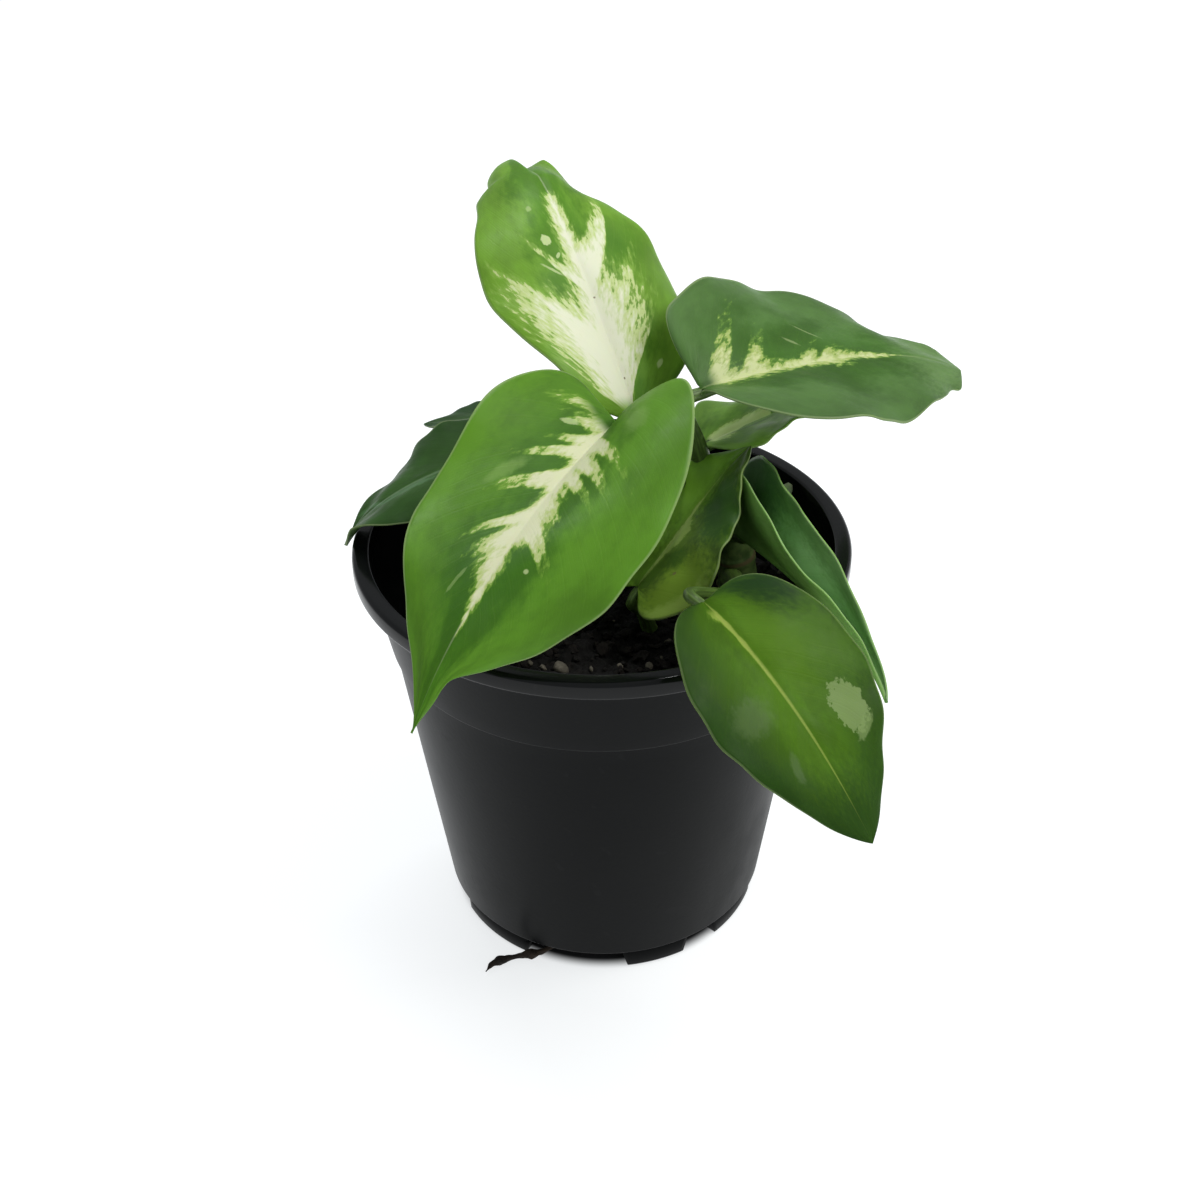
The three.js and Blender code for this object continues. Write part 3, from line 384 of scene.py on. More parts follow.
class PLANT_PG_soil(bpy.types.PropertyGroup):
    """Make-up of the potting soil."""

    # The peat and bark are set darker than moist peat and bark are: their own dark colour, deepened as
    # painted shade for the soil lying under the leaves.
    peat: colour("Peat", "Colour of the moist peat", (0.0016, 0.0013, 0.0011))
    bark: colour("Bark", "Colour of the bark crumbs", (0.009, 0.006, 0.004))
    perlite: colour("Perlite", "Colour of the pale crumbs", (0.15, 0.135, 0.105))
    lumps: number("Lumps", "Lumps pressed into the surface", 1500)
    crumbs: number("Crumbs", "Loose peat and bark crumbs", 700)
    pale: number("Pale crumbs", "Scattered pale crumbs", 26)
    seed: number("Seed", "Start of the repeatable draw", 11, 0)


class PLANT_PG_stage(bpy.types.PropertyGroup):
    """Camera, floor and lights."""

    elevation: angle("Elevation", "Height of the view above the horizon", 34.26)
    tilt: angle("Tilt", "Turn of the camera about its own view line", -0.70)
    distance: size("Distance", "From the camera to the point it looks at", 0.3675)
    lens: FloatProperty(name="Lens", description="Focal length in millimetres", default=50.92)
    floor: colour("Floor", "Colour of the plain floor", (0.45, 0.455, 0.46))


# ---- meshes ------------------------------------------------------------------------------------------
# A shell is (places, faces, corner map): places is (n, 3) in millimetres, faces a list of (m, 3) or (m, 4)
# arrays of point numbers, and the corner map has one (u, v) for each face corner, or is None.


def mesh_object(name, shell, values=None, slots=None, smooth=True):
    """A mesh object from a shell. values has one number for each point under each name, and slots the
    number of each face's material."""
    places, faces, corner_map = shell
    corners = np.concatenate([f.ravel() for f in faces]).astype(np.int32)
    sides = np.concatenate([np.full(len(f), f.shape[1]) for f in faces])
    mesh = bpy.data.meshes.new(name)
    mesh.vertices.add(len(places))
    mesh.vertices.foreach_set("co", np.asarray(places * MM, np.float32).ravel())
    mesh.loops.add(len(corners))
    mesh.loops.foreach_set("vertex_index", corners)
    mesh.polygons.add(len(sides))
    starts = np.concatenate([[0], np.cumsum(sides)[:-1]])
    mesh.polygons.foreach_set("loop_start", starts.astype(np.int32))
    mesh.polygons.foreach_set("use_smooth", np.full(len(sides), smooth))
    if corner_map is not None:
        layer = mesh.uv_layers.new(name="Surface")
        layer.data.foreach_set("uv", np.asarray(corner_map, np.float32).ravel())
    for key, numbers in (values or {}).items():
        layer = mesh.attributes.new(key, "FLOAT", "POINT")
        layer.data.foreach_set("value", np.asarray(numbers, np.float32))
    if slots is not None:
        mesh.polygons.foreach_set("material_index", np.asarray(slots, np.int32))
    mesh.update(calc_edges=True)
    mesh.validate()
    piece = bpy.data.objects.new(name, mesh)
    bpy.context.scene.collection.objects.link(piece)
    return piece


def finish_piece(piece, node, slot, *materials):
    """The piece takes its materials, rides on the part's one body and stands for the solid."""
    for material in materials:
        piece.data.materials.append(material)
    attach(piece, "root")
    if node:
        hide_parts(node)


def round_turn(count):
    """Evenly spread angles over one full turn."""
    return 2 * np.pi * np.arange(count) / count


def grid_faces(rows, columns, start=0, closed=False):
    """Quads of a grid of points, row after row; closed joins the last column to the first. Where the rows
    run up and the columns to the right, the faces point at the viewer."""
    last = columns if closed else columns - 1
    row, column = np.meshgrid(np.arange(rows - 1), np.arange(last), indexing="ij")
    a, b = row * columns + column, row * columns + (column + 1) % columns
    return start + np.stack([a, b, b + columns, a + columns], -1).reshape(-1, 4)


def strip(flip, *edges):
    """Faces whose corners run along the given rows of point numbers, turned over where flip is set."""
    return np.stack(np.broadcast_arrays(*edges)[:: -1 if flip else 1], -1)


def capped(rings, first, last, flip=False):
    """A closed shell: rings of points, row after row, each end drawn together in one point."""
    rows, columns = rings.shape[:2]
    low, count = np.arange(columns), rows * columns
    high = low + count - columns
    faces = [grid_faces(rows, columns, closed=True), strip(True, low, np.roll(low, -1), count),
             strip(False, high, np.roll(high, -1), count + 1)]
    places = np.vstack([rings.reshape(-1, 3), first, last])
    return places, [f[:, ::-1] if flip else f for f in faces], np.zeros((sum(f.size for f in faces), 2))


def gathered(shells):
    """Several shells as one, with the point numbers moved up."""
    places, faces, maps = zip(*shells)
    starts = np.cumsum([0, *map(len, places)])
    return np.vstack(places), [f + start for own, start in zip(faces, starts) for f in own], np.vstack(maps)


def smooth_path(points, steps):
    """Points at equal distances along a curve through the given ones. Each stretch is a cubic whose end
    slopes come from the neighbouring points, weighted by the square roots of their distances."""
    points = np.asarray(points, float)
    points = np.vstack([2 * points[0] - points[1], points, 2 * points[-1] - points[-2]])
    gaps = np.maximum(np.linalg.norm(np.diff(points, axis=0), axis=1) ** 0.5, 1e-4)
    t = np.linspace(0, 1, 24)[:, None]
    curve = []
    for i in range(1, len(points) - 2):
        before, here, after = gaps[i - 1:i + 2]
        p0, p1, p2, p3 = points[i - 1:i + 3]
        slope_in = here * ((p1 - p0) / before - (p2 - p0) / (before + here) + (p2 - p1) / here)
        slope_out = here * ((p2 - p1) / here - (p3 - p1) / (here + after) + (p3 - p2) / after)
        bend = (2 * p1 - 2 * p2 + slope_in + slope_out) * t ** 3
        bow = (-3 * p1 + 3 * p2 - 2 * slope_in - slope_out) * t ** 2
        curve.append((bend + bow + slope_in * t + p1)[:-1])
    curve = np.vstack(curve + [points[-2:-1]])
    reach = np.concatenate([[0], np.cumsum(np.linalg.norm(np.diff(curve, axis=0), axis=1))])
    return at_shares(curve, reach, np.linspace(0, reach[-1], steps + 1))


def at_shares(places, known, wanted):
    """Places on a line of points, read between the known positions at the wanted ones."""
    return np.stack([np.interp(wanted, known, places[:, k]) for k in range(3)], -1)


def path_frames(path):
    """Unit vectors along a path and two across it, carried from point to point with no needless turn."""
    along = np.gradient(path, axis=0)
    along /= np.linalg.norm(along, axis=1, keepdims=True)
    across = np.empty_like(along)
    side = np.cross(along[0], [0.0, 0.0, 1.0])
    if np.linalg.norm(side) < 0.1:
        side = np.cross(along[0], [1.0, 0.0, 0.0])
    for i, forward in enumerate(along):
        side = side - forward * side.dot(forward)
        side = side / np.linalg.norm(side)
        across[i] = side
    return along, across, np.cross(along, across)


def tube(path, radii, sides):
    """A closed tube: ring points are centre + radius (cos a · across + sin a · up), and both ends close in
    a point. radii is (steps,) or (steps, sides). The corner map is (share of the length, share round)."""
    _, across, up = path_frames(path)
    turn, rows = round_turn(sides), len(path)
    radii = np.broadcast_to(np.asarray(radii).reshape(rows, -1), (rows, sides))
    ring = np.cos(turn)[None, :, None] * across[:, None] + np.sin(turn)[None, :, None] * up[:, None]
    places, faces, _ = capped(path[:, None] + ring * radii[..., None], path[0], path[-1])
    row, column = np.divmod(np.arange((rows - 1) * sides), sides)
    quad_map = np.stack([
        np.stack([row, row, row + 1, row + 1], -1) / (rows - 1),
        np.stack([column, column + 1, column + 1, column], -1) / sides,
    ], -1).reshape(-1, 2)
    return places, faces, np.vstack([quad_map, np.repeat([[0.0, 0.5], [1.0, 0.5]], 3 * sides, axis=0)])


def ripples(u, v, seed, count=7, finest=9.0):
    """A smooth uneven surface between about -1 and 1: the mean of sine waves of seeded directions."""
    draw = np.random.default_rng(seed)
    total = np.zeros(np.broadcast(u, v).shape)
    for _ in range(count):
        along, across = draw.uniform(1.5, finest, 2) * draw.choice([-1, 1], 2)
        total = total + np.sin(along * u + across * v + draw.uniform(0, 2 * np.pi))
    return total / count ** 0.5


def bell(distance, reach):
    """exp(-(distance / reach)²): 1 at no distance, and nearly 0 at twice the reach."""
    return np.exp(-(distance / reach) ** 2)


# ---- leaf shapes -------------------------------------------------------------------------------------


def leaf_frame(leaf, along):
    """Unit vectors at shares of the midrib: forward from heading and pitch, right level across it and then
    tipped by the roll, and up square to both. heading = first + change × share, and so is the roll; pitch
    also has droop × share³."""
    heading = np.radians(leaf["heading"][0] + leaf["heading"][1] * along)
    pitch = np.radians(leaf["pitch"][0] + leaf["pitch"][1] * along + leaf["pitch"][2] * along ** 3)
    roll = np.radians(leaf["roll"][0] + leaf["roll"][1] * along)[..., None]
    forward = np.stack([np.cos(pitch) * np.cos(heading), np.cos(pitch) * np.sin(heading), np.sin(pitch)], -1)
    level = np.stack([np.sin(heading), -np.cos(heading), np.zeros_like(heading)], -1)
    upright = np.cross(level, forward)
    right = level * np.cos(roll) + upright * np.sin(roll)
    return forward, right, upright * np.cos(roll) - level * np.sin(roll)


def midrib(leaf, along):
    """The midrib's places: base + the sum of short steps of length × forward."""
    fine = np.linspace(0, 1, 241)
    forward, _, _ = leaf_frame(leaf, fine)
    steps = (forward[1:] + forward[:-1]) / 2 * leaf["length"] / 240
    return at_shares(np.vstack([[0, 0, 0], np.cumsum(steps, 0)]) + leaf["base"], fine, along)


def blade_surface(leaf, along, across, uneven):
    """The blade's middle surface. Half width = side × along^fullness (1 - along)^taper, over its own peak,
    × (1 + swell sin 2π along) × uneven. Each half is an arc that leaves the midrib at the fold's angle and
    turns by the curl; its crease is rounded by raising the middle by r exp(-distance / r). Margins carry
    a sine wave that grows with the cube of the way across, and run ahead and, at the base, back as lobes."""
    forward, right, up = leaf_frame(leaf, along)
    out, side = np.abs(across), np.sign(across)

    def by_half(key):
        return np.where(across < 0, leaf[key][0], leaf[key][1])

    fullness, taper = leaf["outline"]
    widest = fullness / (fullness + taper)
    shape = along ** fullness * (1 - along) ** taper / (widest ** fullness * (1 - widest) ** taper)
    width = by_half("width") * shape
    width = width * (1 + by_half("swell") * np.sin(2 * np.pi * along)) * uneven
    near = (1 - along) ** 2
    fold = np.radians(by_half("fold") * near + leaf["fold"][2] * (1 - near))
    half_turn = np.radians(by_half("curl")) * out / 2
    chord = width * out * np.sinc(half_turn / np.pi)
    crease = BLADE["crease"]
    rounded = chord + crease * np.exp(-chord / crease) * np.minimum(1, 2 * shape)
    wave = by_half("wave") * np.sin(2 * np.pi * (leaf["waves"] * along + by_half("phase")))
    wave = wave * out ** 3 * np.minimum(1, 3 * shape)
    rise = np.where(fold > 0, rounded, chord) * np.sin(fold + half_turn) + wave
    lobe_share = along / BLADE["lobe_end"]
    back = leaf["lobe"] * lobe_share * np.exp(1 - lobe_share) * out ** 1.7
    ahead = leaf["length"] * leaf["sweep"] * 4 * along * (1 - along) * out ** 1.4
    return (midrib(leaf, along) + right * (side * chord * np.cos(fold + half_turn))[..., None]
            + up * rise[..., None] + forward * (ahead - back)[..., None])


def unit_normals(places):
    """Unit normals of a grid of places, pointing up out of a blade whose columns run to the right."""
    normal = np.cross(np.gradient(places, axis=1), np.gradient(places, axis=0))
    return normal / np.maximum(np.linalg.norm(normal, axis=-1, keepdims=True), 1e-9)


def uneven_margin(look, u, v):
    """How much wider or narrower the blade is than its formula: 1 + 0.012 ripples × out⁴, less each nick's
    depth × bell(distance along) × out on its side, so that a negative depth widens the blade."""
    uneven = 1 + 0.012 * ripples(8 * u, 2 * np.sign(v), look["seed"] + 1, 6, 6.0) * np.abs(v) ** 4
    for centre, side, depth, before, after in look["nicks"]:
        reach = np.where(u < centre, before, after)
        uneven = uneven - depth * bell(u - centre, reach) * (side * v > 0) * np.abs(v)
    return uneven


def blade(leaf, look, settings):
    """A blade as one closed shell: its middle surface moved up and down by half the thickness along the
    normals. The upper face has a furrow over the midrib and shallow furrows over the side veins, which
    leave the midrib at along - slope × out; the lower face has a rib. A dent lowers both faces round the
    midrib near the tip, and gentle ripples quilt them. Both ends are one point."""
    columns = settings.across + 1
    share = np.linspace(-1, 1, columns)
    u, v = np.meshgrid((1 - np.cos(np.linspace(0, np.pi, settings.along + 1))) / 2,
                       share * (0.4 + 0.6 * np.abs(share)), indexing="ij")
    middle = blade_surface(leaf, np.clip(u, 0.0005, 0.9995), v, uneven_margin(look, u, v))
    middle[0], middle[-1] = midrib(leaf, np.zeros(columns)), midrib(leaf, np.ones(columns))
    normal = unit_normals(middle)
    normal[0], normal[-1] = normal[1].mean(0), normal[-2].mean(0)
    out, bulge = np.abs(v), np.sin(np.pi * u)
    width = np.where(v < 0, *leaf["width"]) * np.sqrt(np.clip(4 * u * (1 - u), 0, 1))
    distance = out * width  # from the midrib
    depth, *reach = look["dent"]
    dent = depth * bell(distance, np.where(v < 0, *reach)) * np.clip((u - 0.75) / 0.15, 0, 1)
    vein = u - look["vein_slope"] * out
    side_veins = 0.5 + 0.5 * np.cos(2 * np.pi * leaf["length"] / BLADE["vein_spacing"] * vein)
    open_blade = np.clip(distance / 2.5, 0, 1) * (1 - out ** 6) * bulge ** 0.5
    furrows = settings.relief / MM * side_veins ** 3 * open_blade
    quilt = 0.25 * ripples(6 * u, 2 * v, look["seed"], 5, 4.0) * open_blade
    quilt = quilt + 0.3 * ripples(9 * u, 2 * np.sign(v), look["seed"] + 2, 6, 6.0) * out ** 6 * bulge
    half = settings.thickness / MM / 2 * np.sqrt(1 - 0.8 * out ** 10)
    groove = BLADE["furrow"] * bell(distance, BLADE["furrow_reach"]) * (1 - u) ** 0.5
    rib = settings.rib / MM * (1 - u) ** 0.7 * bell(distance, BLADE["rib_reach"])
    middle = middle - normal * dent[..., None]
    upper = middle + normal * (half - furrows - groove + quilt)[..., None]
    lower = middle - normal * (half - 0.5 * furrows + rib - quilt)[..., None]
    return closed_blade(upper, lower, u, v)


def closed_blade(upper, lower, u, v):
    """Joins the two faces of a blade round its margin, and draws each end row together into one point. The
    corner map is (along, half of across + 1)."""
    inner_rows, columns = u.shape[0] - 2, u.shape[1]
    count = inner_rows * columns
    places = np.vstack([upper[1:-1].reshape(-1, 3), lower[1:-1].reshape(-1, 3),
                        (upper[0, :1] + lower[0, :1]) / 2, (upper[-1, :1] + lower[-1, :1]) / 2])
    number = np.arange(count).reshape(inner_rows, columns)

    def rim(column, flip):
        a, b = number[:-1, column], number[1:, column]
        return strip(flip, a, b, b + count, a + count)

    def end(row, point, flip):
        a, b = number[row, :-1], number[row, 1:]
        corner = np.array([[point, number[row, 0], number[row, 0] + count],
                           [point, number[row, -1] + count, number[row, -1]]])
        return np.vstack([strip(flip, point, b, a), strip(flip, point, a + count, b + count),
                          corner[:, :: -1 if flip else 1]])

    faces = [grid_faces(inner_rows, columns), grid_faces(inner_rows, columns, count)[:, ::-1],
             rim(0, False), rim(-1, True), end(0, 2 * count, False), end(-1, 2 * count + 1, True)]
    corners = np.concatenate([f.ravel() for f in faces])
    flat_u = np.concatenate([u[1:-1].ravel(), u[1:-1].ravel(), [0, 1]])
    flat_v = np.concatenate([v[1:-1].ravel(), v[1:-1].ravel(), [0, 0]])
    return places, faces, np.stack([flat_u[corners], flat_v[corners] / 2 + 0.5], -1)


def leafstalk(leaf, steps=60, sides=20):
    """A leafstalk: a tube along the way from the stem into the underside of the midrib. It tapers from its
    sheathing foot, and its upper side has a shallow channel: radius × (1 - 0.22 bell(turn from the top))."""
    ends = np.array([0.0, 0.12])
    forward, _, up = leaf_frame(leaf, ends)
    base, inside = np.asarray(leaf["base"], float), midrib(leaf, ends)[1]
    path = smooth_path([
        *leaf["stalk"], base - 3.5 * forward[0] - 1.6 * up[0], base + forward[0] - 0.8 * up[0],
        inside - 0.6 * up[1],
    ], steps)
    share = np.linspace(0, 1, steps + 1)
    radius = STALK["foot_radius"] + (STALK["radius"] - STALK["foot_radius"]) * np.minimum(1, 1.6 * share)
    radius = radius * (1 - 0.45 * share ** 6)
    _, across, lift = path_frames(path)
    high = np.arctan2(lift[:, 2], across[:, 2])[:, None]
    away = np.abs((round_turn(sides)[None] - high + np.pi) % (2 * np.pi) - np.pi)
    channel = 1 - 0.22 * bell(away, 0.5) * np.clip(share * 4, 0, 1)[:, None]
    return tube(path, radius[:, None] * channel, sides)


# ---- pot, soil, stem and roots -----------------------------------------------------------------------


def wall_radius(height):
    """Outer radius of the pot's wall at heights: two straight tapers with a step between."""
    height = np.asarray(height, float)
    low = POT["base_radius"] + (POT["step_radius"] - POT["base_radius"]) * (
        (height - POT["floor"]) / (POT["step_height"] - POT["floor"]))
    collar_top = POT["height"] - POT["lip_drop"]
    collar_foot = POT["step_radius"] + POT["step_out"]
    high = collar_foot + (POT["rim_radius"] - POT["lip_inset"] - collar_foot) * (
        (height - POT["step_height"]) / (collar_top - POT["step_height"]))
    return np.where(height < POT["step_height"], low, high)


def arc(centre_radius, centre_height, radius, start, stop, steps=6):
    """Profile points on an arc: centre + radius (cos a, sin a) for angles a from start to stop."""
    return [(centre_radius + radius * math.cos(a), centre_height + radius * math.sin(a), 0)
            for a in np.radians(np.linspace(start, stop, steps + 1))]


def rounded_profile(points):
    """A profile of (radius, height, fillet) corners with each corner replaced by a short arc: points at
    (1 - t)² a + 2t(1 - t) corner + t² b, where a and b lie a fillet's length along the two sides."""
    points = np.array(points, float)
    t = np.linspace(0, 1, 7)[:, None]
    line = [points[:1, :2]]
    for before, (*corner, fillet), after in zip(points[:-2, :2], points[1:-1], points[2:, :2]):
        if fillet:
            sides = [before - corner, after - corner]
            lengths = [np.linalg.norm(side) for side in sides]
            a, b = (corner + side / length * min(fillet, 0.45 * length)
                    for side, length in zip(sides, lengths))
            line.append((1 - t) ** 2 * a + 2 * t * (1 - t) * corner + t ** 2 * b)
        else:
            line.append([corner])
    return np.vstack(line + [points[-1:, :2]])


def split_long_sides(profile, longest):
    """The same profile with points added so that no side is longer than the given length."""
    pieces = []
    for a, b in zip(profile[:-1], profile[1:]):
        count = max(1, math.ceil(np.linalg.norm(b - a) / longest))
        pieces.append(a + (b - a) * np.linspace(0, 1, count, endpoint=False)[:, None])
    return np.vstack(pieces + [profile[-1:]])


def turned(radius, height, bearings):
    """Places round the upright axis: (r sin b, -r cos b, z)."""
    return np.stack([radius * np.sin(bearings), -radius * np.cos(bearings),
                     np.broadcast_to(height, np.broadcast(radius, bearings).shape)], -1)


def turned_shell(profile, bearings):
    """A shell whose profile starts and ends on the upright axis."""
    ring = profile[1:-1]
    return capped(turned(ring[:, :1], ring[:, 1:], bearings), (0, 0, profile[0, 1]), (0, 0, profile[-1, 1]))


def pot_profile():
    """The pot's section from the middle of the underside, up the outside, over the lip and down inside."""
    p, edge = POT, ROUND
    collar_top = p["height"] - p["lip_drop"]
    under_step, over_step, top, inside = wall_radius(
        [p["step_height"] - 0.001, p["step_height"], collar_top, FLOOR_TOP])
    slot_radii = np.linspace(DRAIN["inner"], DRAIN["outer"], DRAIN["steps"] + 1)
    corners = [
        (0, p["floor"], 0), *((r, p["floor"], 0) for r in slot_radii),
        *arc(p["base_radius"] - edge["base"], p["floor"] + edge["base"], edge["base"], -90, 0),
        (under_step, p["step_height"], 0.2), (over_step, p["step_height"] + p["step_slope"], 0.3),
        (top, collar_top, 0.5),
        *arc(p["rim_radius"] - edge["lip_low"], collar_top + edge["lip_low"], edge["lip_low"], -75, 0),
        *arc(p["rim_radius"] - edge["lip_top"], p["height"] - edge["lip_top"], edge["lip_top"], 15, 90, 8),
        *arc(p["mouth_radius"] + edge["lip_inner"], p["height"] - edge["lip_inner"], edge["lip_inner"],
             90, 180),
        (top - p["wall"], collar_top - p["wall"], 0.5),
        (over_step - p["wall"], p["step_height"] + p["wall"], 0.3),
        (under_step - p["wall"], p["step_height"] - p["wall"] / 3, 0.3),
        (inside - p["wall"], FLOOR_TOP, 0.6), *((r, FLOOR_TOP, 0) for r in slot_radii[::-1]),
        (0, FLOOR_TOP, 0),
    ]
    return split_long_sides(rounded_profile(corners), 4.0)


def slot_bearings(radius, count):
    """Bearings at each radius that follow the drain slots' straight sides: between the slots they are
    evenly spread, and a slot's side lies asin(width / 2r) from its middle. Also which columns start a slot
    face."""
    slots = np.radians(np.sort(np.array(DRAIN_BEARINGS) % 360))
    steps = DRAIN["steps"]
    between = count // len(slots) - steps
    side = np.arcsin(np.clip(DRAIN["width"] / 2 / np.maximum(radius, DRAIN["inner"]), 0, 1))[:, None]
    columns = []
    for here, after in zip(slots, np.append(slots[1:], slots[0] + 2 * np.pi)):
        columns.append(here + side * np.linspace(-1, 1, steps + 1))
        start, stop = here + side, after - side
        columns.append(start + (stop - start) * np.linspace(0, 1, between + 1)[1:-1])
    return np.concatenate(columns, 1), np.tile(np.arange(between + steps) < steps, len(slots))


def pot_shell(count):
    """The pot's wall and floor: the profile turned on bearings that follow the drain slots. Where a slot
    lies, the faces of the floor's underside and top are left out and short walls join them."""
    profile = pot_profile()
    radius, height = profile[1:-1].T
    turn, in_slot = slot_bearings(radius, count)
    places, faces, _ = turned_shell(profile, turn)
    rows, columns = turn.shape
    in_ring = (radius > DRAIN["inner"] - 1e-6) & (radius < DRAIN["outer"] + 1e-6)
    levels = POT["floor"], FLOOR_TOP
    low, high = (np.where((np.abs(height - level) < 1e-6) & in_ring)[0] for level in levels)
    open_row = np.zeros(rows - 1, bool)
    open_row[[*low[:-1], *high[:-1]]] = True
    quads = faces[0].reshape(rows - 1, columns, 4)
    low, high = low * columns, high[::-1] * columns
    walls = []
    for edge in np.where(in_slot & ~np.roll(in_slot, 1))[0]:
        across = (edge + np.arange(DRAIN["steps"] + 1)) % columns
        for column, flip in ((across[0], False), (across[-1], True)):
            a, b = low + column, high + column
            walls.append(strip(flip, a[:-1], a[1:], b[1:], b[:-1]))
        for end, flip in ((0, True), (-1, False)):
            a, b = low[end] + across, high[end] + across
            walls.append(strip(flip, a[:-1], a[1:], b[1:], b[:-1]))
    faces = [quads[~(open_row[:, None] & in_slot[None, :])], *walls, *faces[1:]]
    return places, faces, np.zeros((sum(f.size for f in faces), 2))


def foot_block(start, stop):
    """A foot under the wall: a ring sector with rounded edges whose ends slope in towards the table. Its
    section is a rounded rectangle carried round from one bearing to the other and closed at both ends."""
    inner, outer, top = FOOT["inner"], FOOT["outer"], POT["floor"] + SINK
    radius, height = np.array([(inner, top), (inner, 0.5), (inner + 0.15, 0.15), (inner + 0.5, 0),
                               (outer - 0.5, 0), (outer - 0.15, 0.15), (outer, 0.5), (outer, top)]).T
    share = np.linspace(0, 1, 17)[:, None]
    slope = FOOT["end_slope"] * np.clip(1 - height / FOOT["sloping"], 0, 1)
    rings = turned(radius, height, np.radians((start + slope) * (1 - share) + (stop - slope) * share))
    return capped(rings, rings[0].mean(0), rings[-1].mean(0), flip=True)


def land_block():
    """The round land in the middle of the underside, level with the feet, with a rounded edge."""
    top = POT["floor"] + SINK
    profile = rounded_profile([(0, 0, 0), (LAND_RADIUS, 0, 0.6), (LAND_RADIUS, top, 0.2), (0, top, 0)])
    return turned_shell(profile, round_turn(48))


def soil_height(x, y):
    """Height of the soil: level + the sum of plane waves height × sin(2π distance / length), where the
    distance runs along each wave's way, + a mound round the stem."""
    from_stem = np.hypot(x - STEM["middle"][0], y - STEM["middle"][1])
    total = SOIL["level"] + SOIL["mound"] * bell(from_stem, SOIL["mound_radius"])
    for height, length, way in SOIL_WAVES:
        distance = x * math.cos(math.radians(way)) + y * math.sin(math.radians(way))
        total = total + height * np.sin(2 * np.pi * distance / length)
    return total


def polar_draw(draw, edge, count):
    """Seeded places spread evenly over a disc, as x and y."""
    radius, turn = edge * np.sqrt(draw.uniform(0, 1, count)), draw.uniform(0, 2 * np.pi, count)
    return radius * np.cos(turn), radius * np.sin(turn)


def soil_surface(settings):
    """The soil: a disc of rings over a closed body. Its surface is soil_height plus the highest of many
    seeded lumps, each a low dome: height × sqrt(1 - (distance / radius)²)."""
    draw = np.random.default_rng(settings.seed)
    side_heights = np.array([SOIL["level"] - 2, SOIL["level"] / 2, FLOOR_TOP + CLEARANCE])
    side_radius = wall_radius(side_heights) - POT["wall"] - CLEARANCE
    edge, turn = side_radius[0], round_turn(SOIL["columns"])
    radius = edge * np.linspace(0, 1, SOIL["rings"] + 1)[1:] ** 0.8
    x, y = radius[:, None] * np.sin(turn), -radius[:, None] * np.cos(turn)
    lift = np.zeros_like(x)
    lump_x, lump_y = polar_draw(draw, edge, settings.lumps)
    lump_radius = draw.uniform(0.7, 2.3, settings.lumps)
    lump_height = lump_radius * draw.uniform(0.25, 0.6, settings.lumps)
    for part in np.array_split(np.arange(settings.lumps), 30):
        apart = (x[..., None] - lump_x[part]) ** 2 + (y[..., None] - lump_y[part]) ** 2
        dome = np.sqrt(np.clip(1 - apart / lump_radius[part] ** 2, 0, 1)) * lump_height[part]
        lift = np.maximum(lift, dome.max(-1))
    calm = np.clip((edge - np.hypot(x, y)) / 1.5, 0, 1)
    fine = 0.18 * ripples(1.3 * x, 1.3 * y, settings.seed, 9, 3.0)
    height = soil_height(x, y) + (lift - 0.45) * calm + fine * calm
    side = turned(side_radius[:, None], side_heights[:, None], turn)
    rings = np.vstack([np.stack([x, y, height], -1), side])
    return capped(rings, (0, 0, height[0].mean()), (0, 0, side_heights[-1]), flip=True)


def lump_form():
    """Points and faces of a unit ball made from an icosahedron whose triangles are each split in four."""
    golden = (1 + 5 ** 0.5) / 2
    corners = [(-1, golden, 0), (1, golden, 0), (-1, -golden, 0), (1, -golden, 0), (0, -1, golden),
               (0, 1, golden), (0, -1, -golden), (0, 1, -golden), (golden, 0, -1), (golden, 0, 1),
               (-golden, 0, -1), (-golden, 0, 1)]
    faces = [(0, 11, 5), (0, 5, 1), (0, 1, 7), (0, 7, 10), (0, 10, 11), (1, 5, 9), (5, 11, 4), (11, 10, 2),
             (10, 7, 6), (7, 1, 8), (3, 9, 4), (3, 4, 2), (3, 2, 6), (3, 6, 8), (3, 8, 9), (4, 9, 5),
             (2, 4, 11), (6, 2, 10), (8, 6, 7), (9, 8, 1)]
    points = [np.array(c, float) / np.linalg.norm(c) for c in corners]
    middles, split = {}, []

    def middle(a, b):
        key = (min(a, b), max(a, b))
        if key not in middles:
            middles[key] = len(points)
            points.append((points[a] + points[b]) / np.linalg.norm(points[a] + points[b]))
        return middles[key]

    for a, b, c in faces:
        ab, bc, ca = middle(a, b), middle(b, c), middle(c, a)
        split += [(a, ab, ca), (b, bc, ab), (c, ca, bc), (ab, bc, ca)]
    return np.array(points), np.array(split)


